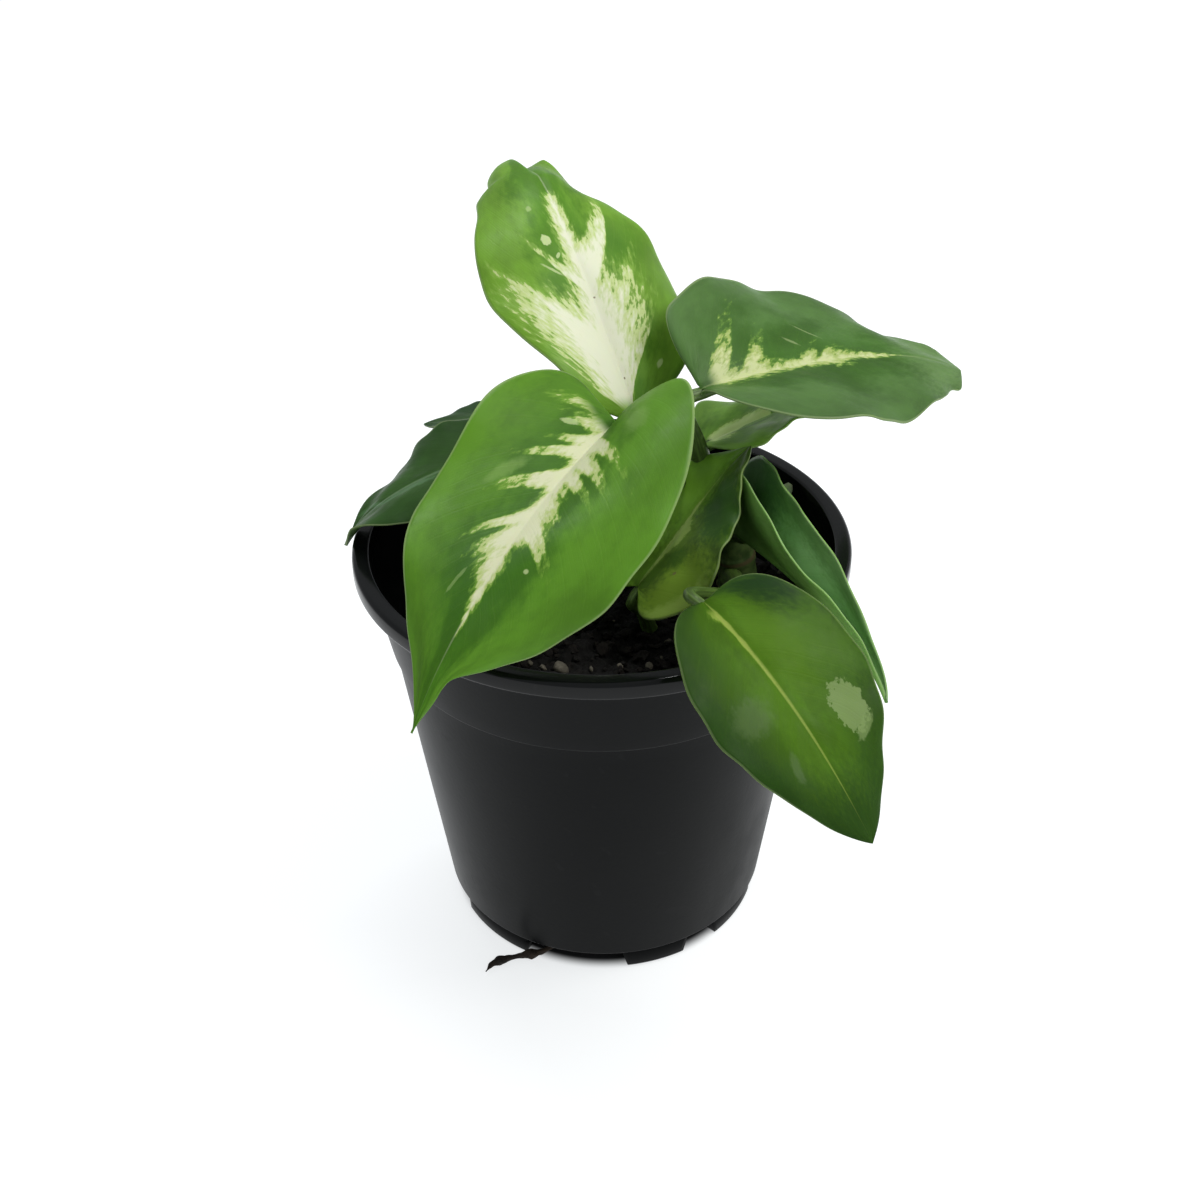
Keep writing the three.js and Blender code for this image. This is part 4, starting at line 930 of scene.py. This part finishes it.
def scattered_lumps(places, radii, flatness, draw, roughness):
    """Many lumps as one shell: ball points × radius × (1 + roughness × seeded draw), squashed, turned about
    a seeded axis and moved into place."""
    ball, faces = lump_form()
    count, corners = len(places), len(ball)
    uneven = 1 + roughness * draw.uniform(-1, 1, (count, corners, 1))
    narrow, low = draw.uniform(0.6, 1, count), flatness * draw.uniform(0.6, 1, count)
    squash = np.stack([np.ones(count), narrow, low], -1)
    shapes = ball[None] * uneven * squash[:, None] * radii[:, None, None]
    turn = draw.uniform(0, 2 * np.pi, count)
    lean = draw.uniform(-0.5, 0.5, (count, 2))
    cos, sin = np.cos(turn)[:, None], np.sin(turn)[:, None]
    x = shapes[..., 0] * cos - shapes[..., 1] * sin
    y = shapes[..., 0] * sin + shapes[..., 1] * cos
    z = shapes[..., 2] + x * lean[:, :1] + y * lean[:, 1:]
    moved = np.stack([x, y, z], -1) + places[:, None]
    numbers = faces[None] + (np.arange(count) * corners)[:, None, None]
    return moved.reshape(-1, 3), [numbers.reshape(-1, 3)], None


def loose_crumbs(draw, count, radii, lift, flatness, roughness, chosen=()):
    """Seeded crumbs over the soil, and chosen ones of (x, y, radius). radii is (least, spread), for radius =
    least + spread × draw², and lift (share, clear), for a middle share × radius + clear above the soil."""
    edge = float(wall_radius(SOIL["level"])) - POT["wall"] - 3.0
    x, y = polar_draw(draw, edge, count)
    radius = radii[0] + radii[1] * draw.uniform(0, 1, count) ** 2
    x, y, radius = np.vstack([np.stack([x, y, radius], -1), np.reshape(chosen, (-1, 3))]).T
    places = np.stack([x, y, soil_height(x, y) + lift[0] * radius + lift[1]], -1)
    return scattered_lumps(places, radius, flatness, draw, roughness)


def stem_tube():
    """The stem: a tapering tube with a low collar, leaning a little to one side, at each old leaf's scar:
    ring = 0.35 cos²(2π distance / spacing), only where the cosine is positive, with a sharper line
    0.12 cos²⁴ beside it."""
    path = smooth_path([STEM["foot"], STEM["middle"], STEM["top"]], 160)
    share = np.linspace(0, 1, 161)[:, None]
    along = share * np.linalg.norm(np.diff(path, axis=0), axis=1).sum()
    lean = 0.6 * np.sin(round_turn(40) + 2.4 * np.floor(along / STEM["node_spacing"] + 0.5))
    phase = 2 * np.pi * (along + lean) / STEM["node_spacing"]
    ring = 0.35 * np.maximum(0, np.cos(phase)) ** 2 + 0.12 * np.maximum(0, np.cos(phase - 0.5)) ** 24
    close = np.minimum(1, 6 * (1 - share) + 0.35)
    radius = (STEM["foot_radius"] + (STEM["top_radius"] - STEM["foot_radius"]) * share) * close + ring
    return tube(path, radius, 40)


def cut_stub():
    """The cut leafstalk: a short tube that narrows a little and rounds off to a small flat cut end."""
    path = np.linspace(STUB["foot"], STUB["tip"], 31)
    share = np.linspace(0, 1, 31)
    radius = STUB["radius"] * np.sqrt(np.maximum(0.12, 1 - share ** 14)) * (1 + 0.05 * np.sin(9 * share))
    return tube(path, radius, 24)


def root_tubes():
    """All roots: tapering tubes along their paths, with knots near the first one's tip and a finely uneven
    skin, and the crown they grow from."""
    shells = []
    for number, points in enumerate(ROOT_PATHS):
        steps = 70 if number else 220
        path = smooth_path(points, steps)
        share = np.linspace(0, 1, steps + 1)
        radius = ROOTS["thick"] + (ROOTS["thin"] - ROOTS["thick"]) * np.minimum(1, 1.8 * share)
        for centre, knot in () if number else KNOTS:
            radius = np.maximum(radius, ROOTS["thin"] + (knot - ROOTS["thin"]) * bell(share - centre, 0.018))
        skin = 1 + 0.10 * ripples(140 * share[:, None], 2 * round_turn(12), 5 + number, 6, 2.0)
        tip = np.clip((1 - share) / 0.02, 0.25, 1)
        shells.append(tube(path, radius[:, None] * skin * tip[:, None], 12))
    half = ROOTS["crown_height"] / 2
    knob = np.stack([np.array(ROOTS["crown"]) + (0, 0, z) for z in np.linspace(-half, half, 13)])
    shells.append(tube(knob, ROOTS["crown_radius"] * (1 - 0.3 * np.linspace(1, 0, 13) ** 2), 32))
    return gathered(shells)


# ---- node helpers ------------------------------------------------------------------------------------


class Value:
    """What a node puts out. Adding, subtracting, multiplying and dividing values place Math nodes."""

    def __init__(self, socket):
        self.socket = socket

    def math(self, operation, *others):
        """A Math node's result, with this value as its first number."""
        return add_node(self, "Math", (self, *others), operation=operation)

    def __add__(self, other):
        return self.math("ADD", other)

    def __sub__(self, other):
        return self.math("SUBTRACT", other)

    def __rsub__(self, other):
        return add_node(self, "Math", (other, self), operation="SUBTRACT")

    def __mul__(self, other):
        return self.math("MULTIPLY", other)

    def __truediv__(self, other):
        return self.math("DIVIDE", other)

    def ease(self, low, high, to_low=0.0, to_high=1.0):
        """This value taken smoothly from low..high to to_low..to_high."""
        inputs = (self, low, high, to_low, to_high)
        return add_node(self, "MapRange", inputs, interpolation_type="SMOOTHSTEP")

    def parts(self):
        """The three numbers of a place."""
        first = add_node(self, "SeparateXYZ", (self,))
        return [Value(socket) for socket in first.socket.node.outputs]


def plug(socket, value):
    """Links an input to a value, or sets it to a number, colour or vector."""
    if isinstance(value, Value):
        socket.id_data.links.new(value.socket, socket)
    elif socket.type == "RGBA" and len(value) == 3:
        socket.default_value = (*value, 1)
    else:
        socket.default_value = value


def add_node(where, kind, inputs=(), output=0, **settings):
    """A new node in a tree, or in the tree of a value, with inputs by order or by name. Gives one output."""
    tree = where.socket.id_data if isinstance(where, Value) else where
    node = tree.nodes.new("ShaderNode" + kind)
    for key, setting in settings.items():
        setattr(node, key, setting)
    for key, value in inputs.items() if isinstance(inputs, dict) else enumerate(inputs):
        plug(node.inputs[key], value)
    return Value(node.outputs[output])


def blend(share, first, second, kind="MIX"):
    """The mix of two colours, in the tree of the first value among the three."""
    where = next(item for item in (share, first, second) if isinstance(item, Value))
    return add_node(where, "Mix", {0: share, 6: first, 7: second}, 2, data_type="RGBA", blend_type=kind)


def place_of(x, y, z):
    """Three numbers as a place."""
    return add_node(x, "CombineXYZ", (x, y, z))


def grain(place, scale=1.0, detail=3.0, roughness=0.5):
    """A noise value at a place."""
    inputs = {"Vector": place, "Scale": scale, "Detail": detail, "Roughness": roughness}
    return add_node(place, "TexNoise", inputs)


def object_place(tree):
    """The piece's own coordinates, in metres."""
    return add_node(tree, "TexCoord", output="Object")


def surface_map(tree):
    """The two numbers of the piece's own map."""
    return add_node(tree, "UVMap", uv_map="Surface").parts()[:2]


def bump(height, strength, distance):
    """A Bump node's normal."""
    return add_node(height, "Bump", {"Height": height, "Strength": strength, "Distance": distance})


def reach_curve(value, points):
    """A curve through (place, reach) points; places from -0.3 to 1.1 and reaches from -0.2 to 0.8."""
    first, span, drop = -0.3, 1.4, 0.2
    result = add_node(value, "FloatCurve", {"Value": value.math("MULTIPLY_ADD", 1 / span, -first / span)})
    mapping = result.socket.node.mapping
    curve = mapping.curves[0]
    spots = [((x - first) / span, y + drop) for x, y in points]
    curve.points[0].location, curve.points[1].location = (0.0, spots[0][1]), (1.0, spots[-1][1])
    for spot in spots:
        curve.points.new(*spot)
    for point in curve.points:
        point.handle_type = "AUTO_CLAMPED"
    mapping.update()
    return result - drop


def label(name):
    """A socket's or group's label: the plain words of a name."""
    return name.replace("_", " ").capitalize()


def build_group(form):
    """A shader node group from a function of a tree and numbers. The function's defaults become the
    group's inputs, and the values it gives back by name become the outputs."""
    tree = bpy.data.node_groups.new(label(form.__name__), "ShaderNodeTree")

    def new_socket(name, way):
        return tree.interface.new_socket(name=label(name), in_out=way, socket_type="NodeSocketFloat")

    given = list(inspect.signature(form).parameters.values())[1:]
    for item in given:
        new_socket(item.name, "INPUT").default_value = item.default
    start = tree.nodes.new("NodeGroupInput").outputs
    results = form(tree, *(Value(start[label(item.name)]) for item in given))
    for name in results:
        new_socket(name, "OUTPUT")
    end = tree.nodes.new("NodeGroupOutput").inputs
    for name, value in results.items():
        plug(end[label(name)], value)


def place_group(tree, name, **values):
    """One of the plant's node groups in a material, with its own values. Gives its outputs in order."""
    node = tree.nodes.new("ShaderNodeGroup")
    node.node_tree = bpy.data.node_groups[name]
    for key, value in values.items():
        plug(node.inputs[label(key)], value)
    return [Value(socket) for socket in node.outputs]


def new_material(name):
    """A material with a plain Principled shader, and its tree."""
    material = bpy.data.materials.new(name)
    material.use_nodes = True
    return material, material.node_tree


def shade(material, hue, rough, normal, others=()):
    """Plugs a surface's colour, roughness and normal, and the shader's other sockets, into the material."""
    shader = next(n for n in material.node_tree.nodes if n.type == "BSDF_PRINCIPLED")
    sockets = {"Base Color": hue, "Roughness": rough, "Normal": normal, **dict(others)}
    for key, value in sockets.items():
        if value is not None:
            plug(shader.inputs[key], value)
    return material


def green_light(weight, scale):
    """The shader's sockets for a little light that passes through green tissue."""
    return {"Subsurface Weight": weight, "Subsurface Radius": (0.6, 1.0, 0.2), "Subsurface Scale": scale}


# ---- node groups -------------------------------------------------------------------------------------


def blade_place(tree, slope=0.3):
    """Blade place: from the blade's map, the share along the midrib, the signed share across, the share
    out from the midrib, 1 on the right half, and the place where the side vein here leaves the midrib."""
    along, across = surface_map(tree)
    across = across.math("MULTIPLY_ADD", 2.0, -1.0)
    out = across.math("ABSOLUTE")
    bowed = out * 0.85 + out * out * 0.15
    return dict(along=along, across=across, out=out, right=across.math("GREATER_THAN", 0.0),
                vein=along - bowed * slope)


def feathered_cream(tree, vein=0.0, out=0.0, along=0.0, reach=0.0, band=0.08, fleck=0.5, seed=0.0):
    """Feathered cream: where the blade is cream. The way in from the edge is reach - out, roughened by noise
    drawn out along the side veins. Over a band each side of the edge, finer noise decides between cream and
    green, so that green flecks lie in the cream and cream flecks in the green."""

    def drawn_out(across_veins, along_veins, offset, detail):
        return grain(place_of(vein * across_veins, out * along_veins, seed + offset), 1.0, detail, 0.6) - 0.5

    width = reach.math("MULTIPLY_ADD", 2.0, 0.10).math("MINIMUM", 1.0).math("MAXIMUM", 0.05)
    inward = reach - out + drawn_out(22.0, 6.0, 0.0, 3.0) * 0.42 * width
    inward = inward / (band * width)
    specks = drawn_out(42.0, 17.0, 7.0, 3.0) * 7.5 + drawn_out(110.0, 36.0, 13.0, 2.0) * 1.2
    chosen = inward - specks * fleck
    started = along.ease(0.03, 0.08)
    return dict(cream=chosen.ease(-0.12, 0.35) * started, core=chosen.ease(0.2, 2.8),
                halo=chosen.ease(-1.7, 0.1) * started)


def mark(tree, along=0.0, across=0.0, centre_along=0.5, centre_across=0.0, length=0.1, width=0.1, slant=0.0,
         softness=0.1, seed=0.0):
    """Mark: 1 inside an ellipse on the blade with a ragged, soft edge, moved by slant / 100 along the blade
    for each step across it."""
    u, v = along - centre_along, across - centre_across
    u = u - v * (slant * 0.01)
    u, v = u / length, v / width
    away = (u * u + v * v).math("SQRT")
    ragged = grain(place_of(along * 38.0, across * 14.0, seed), 1.0, 3.0, 0.6)
    away = away + (ragged - 0.5) * 1.3
    return dict(mask=((1.0 - away) / softness).ease(-1.0, 1.0))


def blade_veins(tree, along=0.0, out=0.0, vein=0.0, count=16.0, seed=0.0):
    """Blade veins: the pale midrib, the fine side veins and the thin margin line as masks, and a height."""
    midrib = (out / along.math("MULTIPLY_ADD", -0.030, 0.042)).ease(0.35, 1.0, 1.0, 0.0)
    waver = grain(place_of(vein * 5.0, out, seed), 2.0)
    turns = (vein + waver * 0.04) * count
    saw, fine_saw = ((step.math("FRACT") - 0.5).math("ABSOLUTE") for step in (turns, turns * 5.0))
    side = saw.ease(0.40, 0.5) * out.ease(0.03, 0.12) * out.ease(0.75, 0.99, 1.0, 0.0)
    cells = grain(place_of(along * 260.0, out * 90.0, seed), 1.0, 2.0)
    return dict(midrib=midrib * along.ease(0.7, 0.95, 1.0, 0.15), side_veins=side,
                margin=out.ease(0.975, 0.993),
                height=side * -0.22 + cells * 0.35 + fine_saw.ease(0.3, 0.5) * -0.12)


def plastic_wear(tree):
    """Plastic wear: faint dust that gathers low on the pot and in soft upright smears, fine scratches, and
    the height of the moulded skin."""
    place = object_place(tree)
    x, y, z = place.parts()
    smear = grain(place_of(x * 3.0, y * 3.0, z), 14.0, 4.0, 0.55).ease(0.45, 0.75)
    cloud = grain(place, 55.0, 5.0, 0.6).ease(0.42, 0.8)
    slant = place_of((x + y) * 14.0, (x - y) * 160.0, z.math("MULTIPLY_ADD", 150.0, x * 60.0))
    return dict(dust=(smear * 0.6 + cloud * 0.5) * z.ease(0.0, 0.06, 1.0, 0.35),
                scratches=grain(slant, 1.6, 2.0, 0.5).ease(0.68, 0.74),
                height=grain(place, 900.0, 3.0, 0.6) * 0.25 + grain(place, 38.0, 2.0, 0.4))


def crumbled(tree, scale=900.0):
    """Crumbled: light and dark of a crumbly surface at two sizes, and its height."""
    place = object_place(tree)
    fine = grain(place, scale, 6.0, 0.7)
    coarse = grain(place, scale * 0.22, 3.0, 0.6)
    specks = grain(place, scale * 0.8, 1.0).ease(0.70, 0.76)
    return dict(tone=(fine + coarse) * 0.5, specks=specks, height=fine)


# ---- materials ---------------------------------------------------------------------------------------


def spotted(hue, spots, along, across, seed):
    """A blade's colour with spots laid over it, in order."""
    for number, (centre, side, long, wide, slant, soft, share, tint) in enumerate(spots):
        mask, = place_group(hue.socket.id_data, "Mark", along=along, across=across, centre_along=centre,
                            centre_across=side, length=long, width=wide, slant=slant, softness=soft,
                            seed=seed + number)
        hue = blend(mask * share, hue, tint)
    return hue


def leaf_material(name, look, settings, length):
    """A variegated blade: deep green to fresh green in soft clouds with painted light and shade on each
    half, feathered cream round the midrib with a yellowish halo, pale midrib and margin, and a duller, paler
    underside."""
    material, tree = new_material(name)
    seed, (band, right_band), (tone, right_tone) = look["seed"], look["band"], look["tone"]
    along, across, out, right, vein = place_group(tree, "Blade place", slope=look["vein_slope"])
    left_reach, right_reach = reach_curve(vein, look["left_cream"]), reach_curve(vein, look["right_cream"])
    cream, core, halo = place_group(
        tree, "Feathered cream", vein=vein, out=out, along=along, fleck=look["fleck"], seed=seed,
        reach=right * right_reach + (1.0 - right) * left_reach,
        band=right.math("MULTIPLY_ADD", right_band - band, band))
    midrib, side_veins, margin, height = place_group(
        tree, "Blade veins", along=along, out=out, vein=vein, seed=seed,
        count=length / BLADE["vein_spacing"])
    clouds = grain(place_of(along * 6.0, across * 2.6, seed), 1.0, 5.0, 0.6)
    streaks = grain(place_of(vein * 22.0, out * 4.0, seed), 1.0, 4.0, 0.6)
    zone = (out + (clouds * 1.2 + streaks * 0.2 - 0.7)).ease(*look["zone"])
    mottle = (clouds * 0.88 + streaks * 0.12).ease(0.36, 0.64, 0.84, 1.14)
    # Painted light and shade: each half's green is scaled by its tone, for how light falls on that half.
    mottle = mottle * right.math("MULTIPLY_ADD", right_tone - tone, tone)
    gray = add_node(mottle, "CombineColor", (mottle, mottle, mottle))
    green = blend(1.0, blend(zone, look["inner"], look["outer"]), gray, "MULTIPLY")
    green = spotted(green, look["patches"], along, across, seed + 20)
    green = blend(side_veins * 0.03, green, look["halo"])
    hue = blend(halo * look["halo_share"], green, look["halo"])
    hue = blend(cream, hue, blend(core, look["cream_edge"], look["cream"]))
    hue = spotted(hue, look["marks"], along, across, seed)
    hue = blend(midrib * (look["rib"] * 0.6), hue, look["cream"])
    hue = blend(margin * look["edge"], hue, settings.margin)
    under = add_node(tree, "Attribute", output="Fac", attribute_name="underside")
    hue = blend(under, hue, blend(0.7, hue, look["under"]))
    gloss = grain(object_place(tree), 260.0, 3.0, 0.6).ease(0.3, 0.7, 0.36, 0.48)
    return shade(material, hue, gloss + under * 0.15, bump(height, 0.2, 0.0002),
                 {"Specular IOR Level": look["sheen"], **green_light(0.12, 0.0012)})


def stalk_material(settings):
    """Leafstalk: pale green with lengthwise streaks and small paler flecks."""
    material, tree = new_material("Leafstalk skin")
    along, around = surface_map(tree)
    streaks = grain(place_of(along * 6.0, around * 22.0, 0.0))
    flecks = grain(object_place(tree), 1100.0, 1.0).ease(0.62, 0.72)
    hue = blend(streaks.ease(0.35, 0.7), [0.45 * c for c in settings.stalk], settings.stalk)
    hue = blend(flecks * 0.3, hue, (0.26, 0.37, 0.14))
    return shade(material, hue, streaks.ease(0.3, 0.7, 0.38, 0.5), bump(streaks, 0.3, 0.0002),
                 green_light(0.1, 0.0015))


def stem_material():
    """Stem skin: mid green with brownish ring scars every node and fine upright cracks."""
    material, tree = new_material("Stem skin")
    along, around = surface_map(tree)
    length = math.dist(STEM["foot"], STEM["middle"]) + math.dist(STEM["middle"], STEM["top"])
    turns = along * (length / STEM["node_spacing"])
    scars = ((turns + 0.5).math("FRACT") - 0.5).math("ABSOLUTE").ease(0.03, 0.1, 1.0, 0.0)
    mottle = grain(object_place(tree), 320.0, 5.0, 0.6)
    cracks = grain(place_of(along * 14.0, around * 60.0, 0.0), 1.0, 2.0).ease(0.6, 0.7)
    hue = blend(mottle.ease(0.35, 0.7), (0.045, 0.09, 0.02), (0.12, 0.19, 0.05))
    hue = blend(scars * 0.8, hue, (0.13, 0.09, 0.045))
    hue = blend(cracks * 0.35, hue, (0.2, 0.2, 0.1))
    return shade(material, hue, mottle.ease(0.3, 0.7, 0.42, 0.62), bump(mottle - scars * 0.6, 0.4, 0.0003))


def stub_material():
    """Cut leafstalk: pale greyish green that dries to tan at its cut end."""
    material, tree = new_material("Cut leafstalk")
    mottle = grain(object_place(tree), 500.0, 4.0, 0.6)
    dry = (surface_map(tree)[0] + mottle * 0.08).ease(0.95, 1.03)
    hue = blend(mottle.ease(0.35, 0.7), (0.22, 0.30, 0.16), (0.42, 0.50, 0.32))
    hue = blend(dry, hue, (0.30, 0.32, 0.20))
    return shade(material, hue, mottle.ease(0.3, 0.7, 0.45, 0.6), bump(mottle, 0.3, 0.0003))


def pot_material(settings):
    """Pot plastic: satin black with faint dust, soft upright smears, a few scratches and a polished lip."""
    material, tree = new_material("Pot plastic")
    dust, scratches, height = place_group(tree, "Plastic wear")
    hue = blend(dust * 0.10, settings.plastic, settings.dust)
    hue = blend(scratches * 0.02, hue, (0.12, 0.12, 0.12))
    rough = dust.ease(0.0, 0.8, 0.34, 0.46) + scratches * 0.05
    upright, lip = object_place(tree).parts()[2], (0.0875, 0.0890)  # the lip starts between these heights
    coat = upright.ease(*lip, 0.0, 0.3)
    polish = {"Coat Weight": coat, "Coat Roughness": 0.14, "Specular IOR Level": 0.07}
    return shade(material, hue, rough * upright.ease(*lip, 1.0, 0.6), bump(height, 0.12, 0.0006), polish)


def crumb_material(name, dark, light, speck, scale, speck_share, roughness=0.85):
    """A crumbly material: dark to light in grains, with a share of specks in a third colour."""
    material, tree = new_material(name)
    tone, specks, height = place_group(tree, "Crumbled", scale=scale)
    hue = blend(specks * speck_share, blend(tone.ease(0.35, 0.68), dark, light), speck)
    return shade(material, hue, tone.ease(0.3, 0.7, roughness - 0.1, roughness + 0.1),
                 bump(height, 0.6, 0.0006), {"Specular IOR Level": 0.25})


# ---- operators ---------------------------------------------------------------------------------------


class PLANT_OT_pot(bpy.types.Operator):
    """Build the nursery pot with its lip, step, feet and drain slots"""

    bl_idname = "plant.pot"
    bl_label = "Pot"

    def execute(self, context):
        settings = context.scene.plant_pot
        shells = [pot_shell(settings.segments), land_block(), *(foot_block(a, b) for a, b in FEET)]
        places, faces, corner_map = gathered(shells)
        wider = settings.rim_radius / (POT["rim_radius"] * MM)
        taller = settings.height / (POT["height"] * MM)
        piece = mesh_object("nursery_pot", (places * (wider, wider, taller), faces, corner_map))
        finish_piece(piece, "pot", "pot_plastic", pot_material(settings))
        return {"FINISHED"}


class PLANT_OT_soil(bpy.types.Operator):
    """Build the potting soil with its lumps, bark crumbs and pale crumbs"""

    bl_idname = "plant.soil"
    bl_label = "Soil"

    def execute(self, context):
        settings = context.scene.plant_soil
        peat, bark, pale = tuple(settings.peat), tuple(settings.bark), tuple(settings.perlite)
        lighter, dull = [2.2 * c for c in peat], [0.45 * c for c in pale]
        ground = mesh_object("soil_body", soil_surface(settings))
        finish_piece(ground, "soil", "soil", crumb_material("Moist peat", peat, lighter, bark, 700.0, 0.5))
        draw = np.random.default_rng(settings.seed + 1)
        crumbs = loose_crumbs(draw, settings.crumbs, (0.5, 1.3), (0.2, 0.3), 0.7, 0.28)
        loose = mesh_object("soil_crumbs", crumbs, smooth=False)
        finish_piece(loose, None, "soil", crumb_material("Bark crumbs", peat, bark, lighter, 500.0, 0.3))
        crumbs = loose_crumbs(draw, settings.pale, (0.35, 0.9), (0.35, 0.5), 0.85, 0.16, FRONT_CRUMBS)
        perlite = mesh_object("soil_perlite", crumbs)
        finish_piece(perlite, None, "soil", crumb_material("Perlite", dull, pale, bark, 900.0, 0.35, 0.8))
        return {"FINISHED"}


class PLANT_OT_roots(bpy.types.Operator):
    """Build the roots, one of which comes out under the pot"""

    bl_idname = "plant.roots"
    bl_label = "Roots"

    def execute(self, context):
        material = crumb_material("Root skin", (0.006, 0.0045, 0.003), (0.035, 0.023, 0.014),
                                  (0.16, 0.12, 0.09), 1400.0, 0.4, 0.75)
        finish_piece(mesh_object("root_system", root_tubes()), "roots", "root", material)
        return {"FINISHED"}


class PLANT_OT_stem(bpy.types.Operator):
    """Build the stem and the stub of a cut leafstalk"""

    bl_idname = "plant.stem"
    bl_label = "Stem"

    def execute(self, context):
        finish_piece(mesh_object("stem_skin", stem_tube()), "stem", "stem", stem_material())
        stub = mesh_object("leafstalk_stub_skin", cut_stub())
        finish_piece(stub, "leafstalk_stub", "cut_stalk", stub_material())
        return {"FINISHED"}


class PLANT_OT_leaves(bpy.types.Operator):
    """Build every leaf: its blade and its leafstalk"""

    bl_idname = "plant.leaves"
    bl_label = "Leaves"

    def execute(self, context):
        settings = context.scene.plant_leaves
        slots = {entry["node"]: entry["material_slot"] for entry in frame["record"]["subparts"]}
        stalk = stalk_material(settings)
        for name, leaf in LEAVES.items():
            look = USUAL_LOOK | LOOKS[name]
            shells = [blade(leaf, look, settings), leafstalk(leaf)]
            whole = gathered(shells)
            per_side = (len(shells[0][0]) - 2) // 2
            under = np.zeros(len(whole[0]))
            under[per_side:2 * per_side] = 1
            counts = [sum(len(f) for f in faces) for _, faces, _ in shells]
            piece = mesh_object(name + "_blade", whole, {"underside": under}, np.repeat([0, 1], counts))
            blade_skin = leaf_material(label(name) + " skin", look, settings, leaf["length"])
            finish_piece(piece, name, slots[name], blade_skin, stalk)
        return {"FINISHED"}


class PLANT_OT_stage(bpy.types.Operator):
    """Set up the camera, the plain floor and the soft lights"""

    bl_idname = "plant.stage"
    bl_label = "Stage"

    def execute(self, context):
        scene, settings = context.scene, context.scene.plant_stage
        camera = bpy.data.objects.new("photo_camera", bpy.data.cameras.new("photo_camera"))
        camera.data.lens, camera.data.sensor_width, camera.data.clip_start = settings.lens, 36.0, 0.01
        back = Vector((0.0, -math.cos(settings.elevation), math.sin(settings.elevation)))
        camera.location = Vector(AIM["camera"]) + back * settings.distance
        look_along = (-back).to_track_quat("-Z", "Y")
        tilt = Euler((0, 0, settings.tilt))
        camera.rotation_euler = (look_along.to_matrix() @ tilt.to_matrix()).to_euler()
        scene.collection.objects.link(camera)
        scene.camera = camera
        self.floor(settings)
        world = bpy.data.worlds.new("Soft daylight")
        world.use_nodes = True
        sky = world.node_tree.nodes["Background"].inputs
        sky["Color"].default_value, sky["Strength"].default_value = (0.93, 0.965, 1.0, 1.0), 0.45
        scene.world = world
        self.lamp(scene, "window_right", (0.50, -0.10, 0.80), 0.45, 0.45, 4.6, (1.0, 0.98, 0.94))
        self.lamp(scene, "ceiling_panel", (-0.1, 0.35, 0.9), 0.5, 0.03, 3.0, (0.97, 0.98, 1.0))
        scene.view_settings.view_transform = "Standard"
        return {"FINISHED"}

    @staticmethod
    def floor(settings):
        """A wide, softly glowing floor just under the feet, with a painted shadow under the pot."""
        reach, gap = 20000.0, 0.05
        corners = np.array([(x * reach, y * reach, -gap) for x, y in ((-1, -1), (1, -1), (1, 1), (-1, 1))])
        floor = mesh_object("floor", (corners, [np.array([[0, 1, 2, 3]])], None))
        material, tree = new_material("Plain floor")
        x, y, _ = object_place(tree).parts()
        from_middle = (x.math("POWER", 2.0) + y.math("POWER", 2.0)).math("SQRT")
        # Painted shadow: inside the pot's footprint the floor's colour drops to a tenth and its glow to
        # nothing.
        open_floor = from_middle.ease(0.0325, 0.0360)
        hue = blend(open_floor, [0.1 * c for c in settings.floor], settings.floor)
        shade(material, hue, 0.9, None, {"Specular IOR Level": 0.05, "Emission Color": (0.97, 0.99, 1.0),
                                         "Emission Strength": open_floor * 0.74})
        floor.data.materials.append(material)
        floor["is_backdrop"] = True

    @staticmethod
    def lamp(scene, name, place, width, depth, power, tint):
        """A rectangular area light that faces the plant."""
        light = bpy.data.lights.new(name, "AREA")
        light.shape, light.size, light.size_y = "RECTANGLE", width, depth
        light.energy, light.color = power, tint
        lamp = bpy.data.objects.new(name, light)
        lamp.location = place
        lamp.rotation_euler = (Vector(AIM["lamps"]) - Vector(place)).to_track_quat("-Z", "Y").to_euler()
        scene.collection.objects.link(lamp)


class PLANT_PT_sidebar(bpy.types.Panel):
    """Lists the pieces of the plant in the sidebar"""

    bl_label = "Potted dieffenbachia"
    bl_space_type = "VIEW_3D"
    bl_region_type = "UI"
    bl_category = "Plant"

    def draw(self, context):
        for operator in BUILDERS:
            self.layout.operator(operator.bl_idname)
        for name in SETTINGS:
            box = self.layout.box()
            group = getattr(context.scene, name)
            for key in group.bl_rna.properties.keys():
                if key not in {"rna_type", "name"}:
                    box.prop(group, key)


SETTINGS = {"plant_pot": PLANT_PG_pot, "plant_leaves": PLANT_PG_leaves, "plant_soil": PLANT_PG_soil,
            "plant_stage": PLANT_PG_stage}
BUILDERS = (PLANT_OT_stage, PLANT_OT_pot, PLANT_OT_soil, PLANT_OT_roots, PLANT_OT_stem, PLANT_OT_leaves)


def register():
    """Registers the settings, operators and panel."""
    for item in (*SETTINGS.values(), *BUILDERS, PLANT_PT_sidebar):
        bpy.utils.register_class(item)
    for name, group in SETTINGS.items():
        setattr(bpy.types.Scene, name, PointerProperty(type=group))


def unregister():
    """Takes them away again."""
    for name in SETTINGS:
        delattr(bpy.types.Scene, name)
    for item in (PLANT_PT_sidebar, *reversed(BUILDERS), *reversed(SETTINGS.values())):
        bpy.utils.unregister_class(item)


def main():
    """Builds every piece in order and works out the sizes of the solids and of the finished model."""
    register()
    for form in (blade_place, feathered_cream, mark, blade_veins, plastic_wear, crumbled):
        build_group(form)
    bpy.ops.plant.stage()
    bpy.ops.plant.pot()
    bpy.ops.plant.soil()
    bpy.ops.plant.roots()
    bpy.ops.plant.stem()
    bpy.ops.plant.leaves()
    boxes = {"cad": CAD_BOX, "visual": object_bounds()}


if __name__ == "__main__":
    main()
